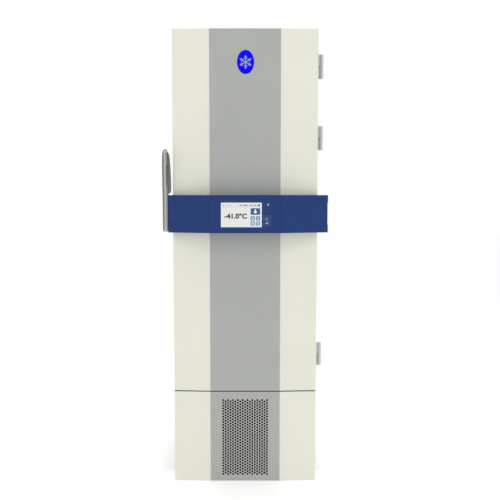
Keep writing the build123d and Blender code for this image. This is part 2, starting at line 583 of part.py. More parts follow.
def condenser():
    """Finned block: tube rows through upright fins, between two end plates."""
    low, high, half = CONDENSER_LOW_Z, CONDENSER_HIGH_Z, CONDENSER_HALF_W
    solids = []
    pitch = 2 * half / (FIN_COUNT - 1)
    for index in range(FIN_COUNT):
        x = -half + pitch * index
        solids.append(block(x - FIN_T / 2, x + FIN_T / 2, CONDENSER_Y0, CONDENSER_Y1, low, high))
    for row in range(5):
        for y in (CONDENSER_Y0 + 14, CONDENSER_Y1 - 14):
            solids.append(rod((-half - 14, y, low + 28 + row * 56), (1, 0, 0), 2 * half + 28, 4.5))
    for side in (-1, 1):
        x = side * (half + 4)
        solids.append(block(x - 1.5, x + 1.5, CONDENSER_Y0 - 4, CONDENSER_Y1 + 4, low - 8, high + 6))
    keep("condenser_coil", solids[0].fuse(*solids[1:]))


FAN_Z, FAN_R, FAN_Y0, FAN_Y1 = 242.0, 118.0, -132.0, -96.0


def fan():
    shroud = block(-150, 150, CONDENSER_Y1 + 4, FAN_Y0, CHASSIS_Z + CHASSIS_T + 2, CONDENSER_HIGH_Z + 6)
    ring = rod((0, FAN_Y0, FAN_Z), (0, 1, 0), FAN_Y1 - FAN_Y0, FAN_R + 7)
    shroud += ring
    shroud -= rod((0, CONDENSER_Y1 - 1, FAN_Z), (0, 1, 0), 100, FAN_R + 4)
    keep("fan_shroud", shroud)
    motor = rod((0, FAN_Y1 - 4, FAN_Z), (0, 1, 0), 62, 38)
    motor += rod((0, FAN_Y0 + 8, FAN_Z), (0, 1, 0), FAN_Y1 - FAN_Y0 - 8, 4)
    for turn in (0, 90, 180, 270):
        strut = block(-5, 5, FAN_Y1 + 6, FAN_Y1 + 12, 30, FAN_R + 7)
        foot = block(-5, 5, FAN_Y1, FAN_Y1 + 12, FAN_R + 3, FAN_R + 7)
        motor += Pos(0, 0, FAN_Z) * (Rot(0, turn, 0) * (strut + foot))
    keep("fan_motor", motor)
    hub = rod((0, FAN_Y0 + 2, FAN_Z), (0, 1, 0), 22, 30)
    hub -= rod((0, FAN_Y0 + 5, FAN_Z), (0, 1, 0), 40, 4.05)
    blade = Box(FAN_R - 22, 2.4, 62, align=(Align.MIN, Align.CENTER, Align.CENTER))
    blade = Pos(20, 0, 0) * (Rot(28, 0, 0) * blade)
    wheel = rod((0, -100, 0), (0, 1, 0), 200, FAN_R - 2)
    core = rod((0, -100, 0), (0, 1, 0), 200, 26)
    for turn in range(5):
        one = (Rot(0, 72 * turn, 0) * blade) & wheel
        hub += Pos(0, FAN_Y0 + 15, FAN_Z) * (one - core)
    keep("fan_blades", hub)


FILTER_T, FILTER_HALF_W, FILTER_HALF_H = 12.0, 124.0, 186.0


def air_filter():
    """Flat filter mat, clipped into the cover behind the grille."""
    y0 = FACE_Y + 2 * SHEET
    keep("air_filter", block(-FILTER_HALF_W, FILTER_HALF_W, y0, y0 + FILTER_T,
                             GRILLE_MIDDLE_Z - FILTER_HALF_H, GRILLE_MIDDLE_Z + FILTER_HALF_H))


def control_box():
    """Electronics housing with a folded lid."""
    box = block(-300, -176, -118, 96, 98, 300)
    lid = block(-302, -174, -120, 98, 300, 304)
    keep("control_box", fillet(box.edges().filter_by(Axis.Z), radius=4), lid)


LINE_R = 4.5


def refrigerant_lines():
    """Discharge, suction and liquid lines, with the filter drier in the liquid line."""
    drier = Pos(235, 20, 200) * Cylinder(24, 130)
    drier = fillet(drier.edges().filter_by(GeomType.CIRCLE), radius=14)
    drier += rod((235, 20, 92), (0, 0, 1), 50, 8)
    discharge = pipe([(60, 164, 285), (60, 60, 285), (60, 60, 350), (163, 60, 350),
                      (163, -154, 350), (163, -154, 310)], 16, LINE_R)
    liquid = pipe([(235, 20, 262), (235, 20, 330), (235, -120, 330), (180, -120, 330)], 16, LINE_R)
    suction = pipe([(-165, 150, 330), (-165, 30, 330), (-130, 30, 330), (-130, 30, 402)], 14, 6.0)
    keep("refrigerant_lines", discharge, drier + liquid, suction)


# ---- rear of the machine compartment --------------------------------------------------------------
INLET_X, INLET_Z = 190.0, 165.0
ROCKER_X, ROCKER_Y = 250.0, 399.0


def rear_cover():
    inside = HALF_W - SHEET
    cover = block(-inside, inside, REAR_Y - SHEET, REAR_Y, CHASSIS_Z, DECK_Z - SHEET)
    slots = [block(x - 26, x + 26, REAR_Y - 5, REAR_Y + 5, z - 3, z + 3)
             for x in (-250, -180, -110, -40, 30) for z in range(130, 380, 14)]
    cover = cover.cut(*slots)
    cover -= block(INLET_X - 30, ROCKER_X + 22, REAR_Y - 5, REAR_Y + 5, INLET_Z - 24, INLET_Z + 24)
    keep("rear_cover", cover)


def power_entry():
    """Mains inlet and a rocker switch in one moulded module."""
    module = block(INLET_X - 30, ROCKER_X + 22, 366, REAR_Y, INLET_Z - 24, INLET_Z + 24)
    module += block(INLET_X - 36, ROCKER_X + 28, REAR_Y, REAR_Y + 3, INLET_Z - 30, INLET_Z + 30)
    socket = block(INLET_X - 17, INLET_X + 17, 376, REAR_Y + 5, INLET_Z - 12, INLET_Z + 12)
    module -= fillet(socket.edges().filter_by(Axis.Y), radius=3)
    for x in (-9, 0, 9):
        module += block(INLET_X + x - 1, INLET_X + x + 1, 374, 394, INLET_Z - 3, INLET_Z + 3)
    module -= block(ROCKER_X - 11, ROCKER_X + 11, 380, REAR_Y + 5, INLET_Z - 17, INLET_Z + 17)
    keep("power_inlet", module)
    rocker = [(ROCKER_Y - 9, -6), (ROCKER_Y + 2, -14.5), (ROCKER_Y + 6.5, -14.5),
              (ROCKER_Y + 3, 0), (ROCKER_Y + 1.5, 14.5), (ROCKER_Y - 3, 14.5), (ROCKER_Y - 9, 6)]
    face = make_face(Polyline(*[(ROCKER_X - 10.6, y, INLET_Z + z) for y, z in rocker], close=True))
    pivot = rod((ROCKER_X - 10.8, ROCKER_Y, INLET_Z), (1, 0, 0), 21.6, 1.8)
    keep("power_switch", extrude(face, amount=21.2, dir=(1, 0, 0)) + pivot)


# ---- castors --------------------------------------------------------------------------------------
WHEEL_R, WHEEL_W, AXLE_R, AXLE_PLAY = 37.5, 24.0, 4.0, 0.05
TRAIL, FORK_W, FORK_T, KINGPIN_R = 24.0, 32.0, 3.0, 5.0
FRONT_CASTOR, REAR_CASTOR = (225.0, -128.0), (245.0, 320.0)
FRONT_LIFT = 1.5  # the jacking feet hold the front wheels this far off the floor
HEAD_Z = CHASSIS_Z - 4.0


def fork(x, y, lift, head_z):
    """Pressed fork with its axle, trailing behind the swivel line."""
    axle_z, axle_y = WHEEL_R + lift, y + TRAIL
    body = block(x - FORK_W / 2, x + FORK_W / 2, y - 20, y + TRAIL + 18, head_z - 5, head_z)
    body += rod((x, y, head_z - 5), (0, 0, 1), 5, 22)
    for side in (-1, 1):
        x0, x1 = x + side * FORK_W / 2, x + side * (FORK_W / 2 - FORK_T)
        leg = [(y - 18, head_z), (y + TRAIL + 16, head_z), (axle_y + 10, axle_z - 6),
               (axle_y - 10, axle_z - 6)]
        face = make_face(Polyline(*[(min(x0, x1), a, b) for a, b in leg], close=True))
        body += extrude(face, amount=FORK_T, dir=(1, 0, 0))
    axle = rod((x - FORK_W / 2 - 4, axle_y, axle_z), (1, 0, 0), FORK_W + 8, AXLE_R)
    return body + axle


def swivel_plate(x, y):
    """Bolted top plate with the kingpin that the front fork turns on."""
    plate = block(x - 40, x + 40, y - 36, y + 36, HEAD_Z, CHASSIS_Z)
    return plate + rod((x, y, HEAD_Z - 10), (0, 0, 1), 10, KINGPIN_R)


def wheel(x, y, lift):
    """A tyre on a dished hub."""
    centre = (x - WHEEL_W / 2, y + TRAIL, WHEEL_R + lift)
    disc = rod(centre, (1, 0, 0), WHEEL_W, WHEEL_R)
    disc = fillet(disc.edges().filter_by(GeomType.CIRCLE), radius=5)
    for x0 in (centre[0] - 1, centre[0] + WHEEL_W - 5):
        disc -= tube((x0, centre[1], centre[2]), (1, 0, 0), 6, 26, 11)
    return disc - rod((x - 50, centre[1], centre[2]), (1, 0, 0), 100, AXLE_R + AXLE_PLAY)


def castors():
    heads = []
    for name, side in (("left", -1), ("right", 1)):
        x, y = side * FRONT_CASTOR[0], FRONT_CASTOR[1]
        heads.append(swivel_plate(x, y))
        swivel = fork(x, y, FRONT_LIFT, HEAD_Z - 0.4)
        swivel -= rod((x, y, HEAD_Z - 20), (0, 0, 1), 30, KINGPIN_R + 0.05)
        keep("front_castor_fork_" + name, swivel)
        keep("front_castor_wheel_" + name, wheel(x, y, FRONT_LIFT))
        x, y = side * REAR_CASTOR[0], REAR_CASTOR[1]
        heads.append(block(x - 40, x + 40, y - 36, y + 44, HEAD_Z, CHASSIS_Z) + fork(x, y, 0, HEAD_Z))
        keep("rear_castor_wheel_" + name, wheel(x, y, 0))
    keep("castor_mounts", *heads)


def build():
    for make in (cabinet_shell, liner, evaporator, insulation, access_port, bumpers, shelves,
                 shelf_rails, inner_doors, door_shell, door_inside, door_gasket, hinges, emblem,
                 band, electronics, lever, latch, base_cover, grille, chassis, feet, compressors,
                 condenser, fan, air_filter, control_box, refrigerant_lines, rear_cover,
                 power_entry, castors):
        make()
    os.makedirs("parts", exist_ok=True)
    for name, shape in PARTS.items():
        export_step(shape, f"parts/{name}.step")
    print(len(PARTS), "nodes")


build()
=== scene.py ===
"""Looks of an upright ultra-low-temperature laboratory freezer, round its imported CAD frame."""

import json
import math

import bpy
from mathutils import Matrix, Vector


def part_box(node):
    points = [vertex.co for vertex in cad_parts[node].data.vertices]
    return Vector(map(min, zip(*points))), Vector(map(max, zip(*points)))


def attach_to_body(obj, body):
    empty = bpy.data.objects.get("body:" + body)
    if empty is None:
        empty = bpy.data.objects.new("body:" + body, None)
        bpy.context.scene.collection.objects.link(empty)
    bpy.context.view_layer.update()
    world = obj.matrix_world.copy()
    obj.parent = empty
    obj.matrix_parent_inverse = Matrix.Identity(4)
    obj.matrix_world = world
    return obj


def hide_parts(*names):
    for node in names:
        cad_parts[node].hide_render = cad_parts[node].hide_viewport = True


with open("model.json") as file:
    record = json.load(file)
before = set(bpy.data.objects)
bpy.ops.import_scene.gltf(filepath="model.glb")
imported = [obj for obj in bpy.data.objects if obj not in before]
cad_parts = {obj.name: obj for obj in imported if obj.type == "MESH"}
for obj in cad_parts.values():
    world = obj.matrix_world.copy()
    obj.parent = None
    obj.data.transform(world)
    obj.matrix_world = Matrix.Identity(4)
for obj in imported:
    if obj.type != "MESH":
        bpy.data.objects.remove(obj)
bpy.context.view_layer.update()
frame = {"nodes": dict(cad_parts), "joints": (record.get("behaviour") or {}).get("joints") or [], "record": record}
MM = 0.001


# ---- Studio -------------------------------------------------------------------------------------
# A white sweep of floor and sky, a wide soft light over the front and a weaker one on each side,
# so that the painted front reads evenly and the bowed band still shows its folds.
CAMERA_BACK = 3.053  # from the door's middle facet
CAMERA_HEIGHT = 1.2765
CAMERA_PITCH = math.radians(4.42)
SENSOR, LENS = 36.0, 50.4
SIDE_SHIFT = 0.0098
FLOOR_TONE, FLOOR_GLOW = 0.93, 0.28
SKY_FILL, SKY_SEEN = 0.76, 1.0  # the sky as a light, and as the camera sees it

scene = bpy.context.scene
scene.view_settings.view_transform = "Standard"
scene.view_settings.look = "None"
FACET_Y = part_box("door_centre_panel")[0].y

bpy.ops.object.camera_add(location=(0, FACET_Y - CAMERA_BACK, CAMERA_HEIGHT),
                          rotation=(math.pi / 2 - CAMERA_PITCH, 0, 0))
camera = bpy.context.object
camera.name = "studio_camera"
camera.data.sensor_width = SENSOR
camera.data.lens = LENS
camera.data.shift_x = SIDE_SHIFT
camera.data.clip_end = 60
scene.camera = camera

bpy.ops.mesh.primitive_plane_add(size=40, location=(0, 0, -0.0005))
floor = bpy.context.object
floor.name = "studio_floor"
floor_paint = bpy.data.materials.new("studio_floor")
floor_paint.use_nodes = True
floor_shader = floor_paint.node_tree.nodes["Principled BSDF"]
floor_shader.inputs["Base Color"].default_value = (FLOOR_TONE, FLOOR_TONE, FLOOR_TONE, 1)
floor_shader.inputs["Roughness"].default_value = 0.9
floor_shader.inputs["Emission Color"].default_value = (1, 1, 1, 1)
floor_shader.inputs["Emission Strength"].default_value = FLOOR_GLOW
floor.data.materials.append(floor_paint)

world = bpy.data.worlds.new("studio_sky")
scene.world = world
world.use_nodes = True
sky = world.node_tree
fill = sky.nodes["Background"]
fill.inputs["Color"].default_value = (1, 1, 1, 1)
fill.inputs["Strength"].default_value = SKY_FILL
paper_white = sky.nodes.new("ShaderNodeBackground")
paper_white.inputs["Strength"].default_value = SKY_SEEN
paper_white.inputs["Color"].default_value = (1, 1, 1, 1)
seen = sky.nodes.new("ShaderNodeMixShader")
sky.links.new(sky.nodes.new("ShaderNodeLightPath").outputs["Is Camera Ray"], seen.inputs["Fac"])
sky.links.new(fill.outputs["Background"], seen.inputs[1])
sky.links.new(paper_white.outputs["Background"], seen.inputs[2])
sky.links.new(seen.outputs["Shader"], sky.nodes["World Output"].inputs["Surface"])

LIGHTS = (  # name, place, target, width, height, watts
    ("front_softbox", (0.3, -3.4, 4.4), (0, -0.35, 1.1), 1.6, 1.6, 22),
    ("left_fill", (-3.4, -0.6, 2.0), (-0.2, 0, 1.0), 1.6, 2.4, 8),
    ("right_fill", (3.4, -0.6, 2.0), (0.2, 0, 1.0), 1.6, 2.4, 12),
    ("back_fill", (0.6, 3.6, 2.6), (0, 0.3, 1.0), 2.6, 2.6, 30),
)
for light_name, place, target, width, height, watts in LIGHTS:
    bpy.ops.object.light_add(type="AREA", location=place)
    light = bpy.context.object
    light.name = light_name
    light.data.shape = "RECTANGLE"
    light.data.size = width
    light.data.size_y = height
    light.data.energy = watts
    light.rotation_euler = (Vector(target) - Vector(place)).to_track_quat("-Z", "Y").to_euler()


# ---- Painted sheet steel ------------------------------------------------------------------------
# Cabinet sides, top, door skin and base cover are folded from thin steel sheet and powder coated
# in a warm cream. The coat has a fine orange peel, and edges are rounded by the folding.
def new_group(name, inputs, outputs):
    """An empty shader group with named sockets; returns the tree, its input and its output node."""
    tree = bpy.data.node_groups.new(name, "ShaderNodeTree")
    for label, kind, value in inputs:
        socket = tree.interface.new_socket(label, in_out="INPUT", socket_type=kind)
        socket.default_value = value
    for label, kind in outputs:
        tree.interface.new_socket(label, in_out="OUTPUT", socket_type=kind)
    return tree, tree.nodes.new("NodeGroupInput"), tree.nodes.new("NodeGroupOutput")


def noise(tree, coordinates, scale, detail=3.0, roughness=0.5):
    """Fractal noise at a scale that may be a number or a socket."""
    node = tree.nodes.new("ShaderNodeTexNoise")
    node.inputs["Detail"].default_value = detail
    node.inputs["Roughness"].default_value = roughness
    tree.links.new(coordinates, node.inputs["Vector"])
    if isinstance(scale, float):
        node.inputs["Scale"].default_value = scale
    else:
        tree.links.new(scale, node.inputs["Scale"])
    return node.outputs["Fac"]


def remap(tree, value, low, high, out_low, out_high):
    """Spreads a value between two limits over a new range; limits may be sockets."""
    node = tree.nodes.new("ShaderNodeMapRange")
    for socket, given in zip(("Value", "From Min", "From Max", "To Min", "To Max"),
                             (value, low, high, out_low, out_high)):
        if isinstance(given, (int, float)):
            node.inputs[socket].default_value = given
        else:
            tree.links.new(given, node.inputs[socket])
    return node.outputs["Result"]


def maths(tree, operation, first, second):
    """One sum of two values, each a number or a socket."""
    node = tree.nodes.new("ShaderNodeMath")
    node.operation = operation
    for index, given in enumerate((first, second)):
        if isinstance(given, (int, float)):
            node.inputs[index].default_value = given
        else:
            tree.links.new(given, node.inputs[index])
    return node.outputs["Value"]


def blend_colour(tree, factor, first, second, mode="MIX"):
    """Two colours mixed by a factor; each of the three may be given or a socket."""
    node = tree.nodes.new("ShaderNodeMix")
    node.data_type = "RGBA"
    node.blend_type = mode
    for socket, given in ((node.inputs["Factor"], factor), (node.inputs[6], first),
                          (node.inputs[7], second)):
        if isinstance(given, (int, float, tuple)):
            socket.default_value = given
        else:
            tree.links.new(given, socket)
    return node.outputs[2]


def shaded(tree, colour, tone):
    """A colour multiplied by a grey tone."""
    grey = tree.nodes.new("ShaderNodeCombineColor")
    for channel in range(3):
        tree.links.new(tone, grey.inputs[channel])
    return blend_colour(tree, 1.0, colour, grey.outputs["Color"], "MULTIPLY")


COLOUR, FLOAT = "NodeSocketColor", "NodeSocketFloat"
FINISH_OUT = (("Colour", COLOUR), ("Roughness", FLOAT), ("Height", FLOAT))


def put_out(tree, out, *values):
    """Links a finish's colour, roughness and height to the group's output."""
    for (label, _), value in zip(FINISH_OUT, values):
        tree.links.new(value, out.inputs[label])


DUST_COLOUR = (0.42, 0.40, 0.36, 1)


def make_coat_group():
    """Cloudy tint, uneven gloss and a fine raised grain, for paint, mouldings and rubber."""
    tree, given, out = new_group("coat_texture", (
        ("Colour", COLOUR, (0.8, 0.8, 0.8, 1)), ("Clouding", FLOAT, 0.03),
        ("Roughness", FLOAT, 0.4), ("Gloss Spread", FLOAT, 0.06),
        ("Grain Scale", FLOAT, 900.0), ("Dust", FLOAT, 0.02)), FINISH_OUT)
    coords = tree.nodes.new("ShaderNodeTexCoord").outputs["Object"]
    darkest = maths(tree, "SUBTRACT", 1.0, given.outputs["Clouding"])
    clouds = remap(tree, noise(tree, coords, 3.1, 4.0), 0.3, 0.7, darkest, 1.0)
    colour = shaded(tree, given.outputs["Colour"], clouds)
    specks = noise(tree, coords, 420.0, 2.0, 0.7)
    specks = remap(tree, specks, 0.66, 0.74, 0.0, given.outputs["Dust"])
    colour = blend_colour(tree, specks, colour, DUST_COLOUR)
    smears = noise(tree, coords, 11.0, 5.0, 0.62)
    half = maths(tree, "MULTIPLY", given.outputs["Gloss Spread"], 0.5)
    rough = remap(tree, smears, 0.3, 0.7, maths(tree, "SUBTRACT", given.outputs["Roughness"], half),
                  maths(tree, "ADD", given.outputs["Roughness"], half))
    grain = noise(tree, coords, given.outputs["Grain Scale"], 2.0, 0.45)
    put_out(tree, out, colour, rough, grain)
    return tree


COAT = make_coat_group()


def finish_material(name, group, values, relief, **shader_values):
    """A material of one finish group, a bump node and a Principled shader."""
    material = bpy.data.materials.new(name)
    material.use_nodes = True
    tree = material.node_tree
    shader = tree.nodes["Principled BSDF"]
    finish = tree.nodes.new("ShaderNodeGroup")
    finish.node_tree = group
    for label, value in values.items():
        finish.inputs[label].default_value = (*value, 1) if isinstance(value, tuple) else value
    bump = tree.nodes.new("ShaderNodeBump")
    bump.inputs["Strength"].default_value = relief[0]
    bump.inputs["Distance"].default_value = relief[1]
    tree.links.new(finish.outputs["Colour"], shader.inputs["Base Color"])
    tree.links.new(finish.outputs["Roughness"], shader.inputs["Roughness"])
    tree.links.new(finish.outputs["Height"], bump.inputs["Height"])
    tree.links.new(bump.outputs["Normal"], shader.inputs["Normal"])
    for label, value in shader_values.items():
        shader.inputs[label.replace("_", " ")].default_value = value
    return material


def coated(name, colour, roughness, grain=900.0, relief=(0.12, 0.0004), clouding=0.03, spread=0.06,
           dust=0.02, **shader_values):
    """Paint, plastic or rubber; relief is the strength and the depth of its grain."""
    values = {"Colour": colour, "Clouding": clouding, "Roughness": roughness,
              "Gloss Spread": spread, "Grain Scale": grain, "Dust": dust}
    return finish_material(name, COAT, values, relief, **shader_values)


def only(*objects):
    """Selects these objects alone and makes the first of them active."""
    if bpy.context.object and bpy.context.object.mode != "OBJECT":
        bpy.ops.object.mode_set(mode="OBJECT")
    bpy.ops.object.select_all(action="DESELECT")
    for item in objects:
        item.select_set(True)
    bpy.context.view_layer.objects.active = objects[0]


def dress(material, *nodes):
    """Gives CAD nodes their finish."""
    for node in nodes:
        slots = frame["nodes"][node].data.materials
        slots.clear()
        slots.append(material)


def slot_of(node):
    return next(p["material_slot"] for p in frame["record"]["subparts"] if p["node"] == node)


def smooth(piece, angle=32):
    """Shades a piece smooth, but for edges sharper than an angle in degrees."""
    only(piece)
    bpy.ops.object.shade_smooth_by_angle(angle=math.radians(angle))


def apply_modifier(piece, kind, **values):
    """Adds a modifier, sets it and applies it."""
    only(piece)
    modifier = piece.modifiers.new(kind.title(), kind)
    for label, value in values.items():
        setattr(modifier, label, value)
    bpy.ops.object.modifier_apply(modifier=modifier.name)


def attach(piece, body, slot, material, *replaced):
    """Rides a finished piece on its body, with its finish and the CAD nodes it stands for."""
    piece.data.materials.clear()
    piece.data.materials.append(material)
    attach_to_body(piece, body)
    if replaced:
        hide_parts(*replaced)
    return piece


MERGE_GAP, FLAT_ANGLE, SHARP_ANGLE = 0.02 * MM, math.radians(0.5), math.radians(28)


def rounded_copy(node, name, radius, segments=2):
    """A copy of a CAD node, merged into one skin, with its sharp edges rounded over."""
    piece = bpy.data.objects.new(name, frame["nodes"][node].data.copy())
    scene.collection.objects.link(piece)
    only(piece)
    bpy.ops.object.mode_set(mode="EDIT")
    bpy.ops.mesh.select_mode(type="EDGE")
    bpy.ops.mesh.select_all(action="SELECT")
    bpy.ops.mesh.remove_doubles(threshold=MERGE_GAP)
    bpy.ops.mesh.customdata_custom_splitnormals_clear()
    bpy.ops.mesh.dissolve_limited(angle_limit=FLAT_ANGLE)
    bpy.ops.mesh.select_all(action="DESELECT")
    bpy.ops.mesh.edges_select_sharp(sharpness=SHARP_ANGLE)
    bpy.ops.mesh.bevel(offset=radius, segments=segments, profile=0.5, clamp_overlap=True,
                       loop_slide=False)
    bpy.ops.object.mode_set(mode="OBJECT")
    smooth(piece)
    apply_modifier(piece, "WEIGHTED_NORMAL", weight=100, keep_sharp=True)
    return piece


def body_of_node(node):
    bodies = frame["record"]["behaviour"]["bodies"]
    return next(body for body, members in bodies.items() if node in members)


def rework(material, node, radius, segments=2, name=None):
    """Stands a rounded copy, with its finish, in for a CAD node."""
    piece = rounded_copy(node, name or node + "_sheet", radius, segments)
    return attach(piece, body_of_node(node), slot_of(node), material, node)


CREAM = (0.795, 0.80, 0.695)
cream_paint = coated("cream_powder_coat", CREAM, 0.36, grain=1500.0, relief=(0.10, 0.0003),
                     clouding=0.025, dust=0.0, Coat_Weight=0.08, Coat_Roughness=0.22)
sheets = {sheet: rework(cream_paint, sheet, 0.7 * MM) for sheet in (
    "door_skin", "base_cover", "side_panel_left", "side_panel_right", "top_panel")}


# ---- Painted shade on the base cover ------------------------------------------------------------
# A black strip is painted round the top of the base cover as painted shade for the dark gap under
# the door. The cover's top face is inset by the strip's width, and the ring this leaves is the strip.
def pick(piece, kind, test):
    """Opens a piece in edit mode with only the edges or faces that pass a test selected."""
    only(piece)
    mesh = piece.data
    for group in (mesh.polygons, mesh.edges, mesh.vertices):
        group.foreach_set("select", [False] * len(group))
    for item in mesh.edges if kind == "EDGE" else mesh.polygons:
        item.select = test(item)
    bpy.ops.object.mode_set(mode="EDIT")
    bpy.ops.mesh.select_mode(type=kind)


def on_cover_top(face):
    return face.normal.z > 0.9 and face.center.z > cover_top - MM


GAP_SHADE_WIDTH = 16 * MM
# Painted shade: flat black for the ring round the cover's top, where the door gap is in shadow.
painted_gap_shade = coated("painted_gap_shade", (0.006, 0.006, 0.006), 0.9, grain=500.0, relief=(0.4, 0.0004),
                   clouding=0.2, dust=0.0, Specular_IOR_Level=0.1)
cover = sheets["base_cover"]
cover.data.materials.append(painted_gap_shade)
cover_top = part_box("base_cover")[1].z
pick(cover, "FACE", on_cover_top)
bpy.ops.mesh.inset(thickness=GAP_SHADE_WIDTH)
bpy.ops.object.mode_set(mode="OBJECT")
# The outer ring of the cover's top gets the painted black shade.
for face in cover.data.polygons:
    face.material_index = int(on_cover_top(face) and not face.select)


# ---- Grey middle panels -------------------------------------------------------------------------
# The door's middle panel and the grille below it are flat steel sheets, powder coated grey and
# laid on the cream front. The grille is punched with a staggered field of round holes.
GREY = (0.41, 0.42, 0.398)
grey_paint = coated("grey_powder_coat", GREY, 0.40, grain=1500.0, relief=(0.12, 0.0003),
                    clouding=0.03, dust=0.0, Coat_Weight=0.06, Coat_Roughness=0.25)
rework(grey_paint, "door_centre_panel", 0.5 * MM)
dress(grey_paint, "grille_panel")


# ---- Control band -------------------------------------------------------------------------------
# Three hollow mouldings in blue semi-gloss plastic wrap the door: the display housing in the
# middle and a wing on each side, each with a shallow pad that runs round its end.
BAND_BLUE = (0.0045, 0.0335, 0.163)
band_plastic = coated("blue_moulding", BAND_BLUE, 0.36, grain=2600.0, relief=(0.10, 0.00025),
                      clouding=0.04, dust=0.0, Specular_IOR_Level=0.3)
rework(band_plastic, "band_cover", 1.1 * MM, segments=3, name="band_mouldings")


# ---- Touch display ------------------------------------------------------------------------------
# An eight-inch panel of 800 by 480 dots, bonded behind a flush pane whose border is printed blue.
# Its picture is laid out in those dots, counted from the top left. A lamp, a sensor and a card
# reader are printed beside it; the lamp is lit, and the sensor and the reader's printed marks
# are given a glow too, which is painted light.
DOTS_WIDE, DOTS_HIGH = 800.0, 480.0
SCREEN_W, SCREEN_H = 174.0 * MM, 104.4 * MM
LAYER = 0.06 * MM
PRINT_DEPTH, SCREEN_DEPTH = 0.2 * MM, 0.55 * MM  # behind the pane's face
pane_low, pane_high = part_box("display_glass")
screen_low, screen_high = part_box("lcd_module")
PRINT_Y = pane_low.y + PRINT_DEPTH
SCREEN_Y = pane_low.y + SCREEN_DEPTH
SCREEN_X = (screen_low.x + screen_high.x) / 2 - SCREEN_W / 2
SCREEN_Z = (screen_low.z + screen_high.z) / 2 + SCREEN_H / 2
DOT = SCREEN_W / DOTS_WIDE


def lit(name, colour, strength):
    """A backlit colour with the faint unevenness of a panel's diffuser; on printed marks, a painted glow."""
    material = coated(name, colour, 0.3, grain=4000.0, relief=(0.0, 0.0), clouding=0.03, dust=0.0,
                      Emission_Strength=strength, Specular_IOR_Level=0.2)
    tree = material.node_tree
    shader = tree.nodes["Principled BSDF"]
    finish = next(n for n in tree.nodes if n.type == "GROUP")
    tree.links.remove(shader.inputs["Base Color"].links[0])
    shader.inputs["Base Color"].default_value = (0.01, 0.01, 0.01, 1)
    tree.links.new(finish.outputs["Colour"], shader.inputs["Emission Color"])
    return material


PAPER = lit("screen_paper", (0.83, 0.83, 0.79), 0.96)
PALE_BLUE = lit("screen_pale_blue", (0.76, 0.81, 0.87), 0.96)
INK = lit("screen_ink", (0.012, 0.016, 0.035), 1.0)
TEAL = lit("screen_teal", (0.03, 0.115, 0.27), 1.0)
NAVY = lit("screen_navy", (0.02, 0.045, 0.16), 1.0)
WHITE = lit("screen_white", (0.9, 0.93, 0.95), 1.0)
# Lit for the power lamp, and a painted glow on the reader's printed waves and card.
LAMP_AND_PRINT_GLOW = lit("lamp_and_print_glow", (0.30, 0.40, 0.60), 0.8)
# The sensor's red is a painted glow on a printed mark.
GLOW_RED = lit("sensor_red", (0.12, 0.025, 0.09), 0.8)
display_parts = {}
TILE_SEGMENTS, FRAME_R, FACE_R = 5, 12, 8
STROKE_GROWTH = 0.042  # makes the figures bolder, as a share of their height


def box_between(name, low, high):
    """A cuboid between two corners, with its place in its mesh."""
    centre = (Vector(low) + Vector(high)) / 2
    bpy.ops.object.select_all(action="DESELECT")
    bpy.ops.mesh.primitive_cube_add(size=1, location=centre)
    piece = bpy.context.object
    piece.name = piece.data.name = name
    piece.scale = [abs(b - a) for a, b in zip(low, high)]
    bpy.ops.object.transform_apply(location=True, rotation=True, scale=True)
    return piece


def pick_edges(piece, test):
    """Opens a piece in edit mode with the edges whose two ends pass a test selected."""
    pick(piece, "EDGE", lambda edge: test(*(piece.data.vertices[v].co for v in edge.vertices)))


def show(piece, material):
    """Files a patch of the display under its colour, to be joined with the others."""
    display_parts.setdefault(material.name, (material, []))[1].append(piece)
    return piece


def tile(name, left, top, right, bottom, layer, radius, material, base=SCREEN_Y):
    """A flat patch of the picture, between two corners in dots, on a layer counted outwards."""
    y = base - LAYER * layer
    piece = box_between(name, (SCREEN_X + left * DOT, y - LAYER, SCREEN_Z - bottom * DOT),
                        (SCREEN_X + right * DOT, y, SCREEN_Z - top * DOT))
    if radius:
        pick_edges(piece, lambda a, b: abs(a.x - b.x) + abs(a.z - b.z) < 1e-6)
        bpy.ops.mesh.bevel(offset=radius * DOT, segments=TILE_SEGMENTS, profile=0.5)
        bpy.ops.object.mode_set(mode="OBJECT")
    return show(piece, material)


def frame_tile(name, left, top, right, bottom, layer, line, material):
    """An outlined button: a tile with a paler one laid inside it."""
    tile(name, left, top, right, bottom, layer, FRAME_R, material)
    tile(name + "_face", left + line, top + line, right - line, bottom - line, layer + 1, FACE_R,
         PALE_BLUE)


def disc(name, across, down, radius, layer, material, vertices=24, base=SCREEN_Y):
    """A round patch of the picture, or a many-sided one with few vertices."""
    centre = (SCREEN_X + across * DOT, base - LAYER * (layer + 0.5), SCREEN_Z - down * DOT)
    bpy.ops.object.select_all(action="DESELECT")
    bpy.ops.mesh.primitive_cylinder_add(vertices=vertices, radius=radius * DOT, depth=LAYER,
                                        location=centre, rotation=(math.pi / 2, 0, 0))
    piece = bpy.context.object
    piece.name = name
    bpy.ops.object.transform_apply(location=True, rotation=True, scale=True)
    return show(piece, material)


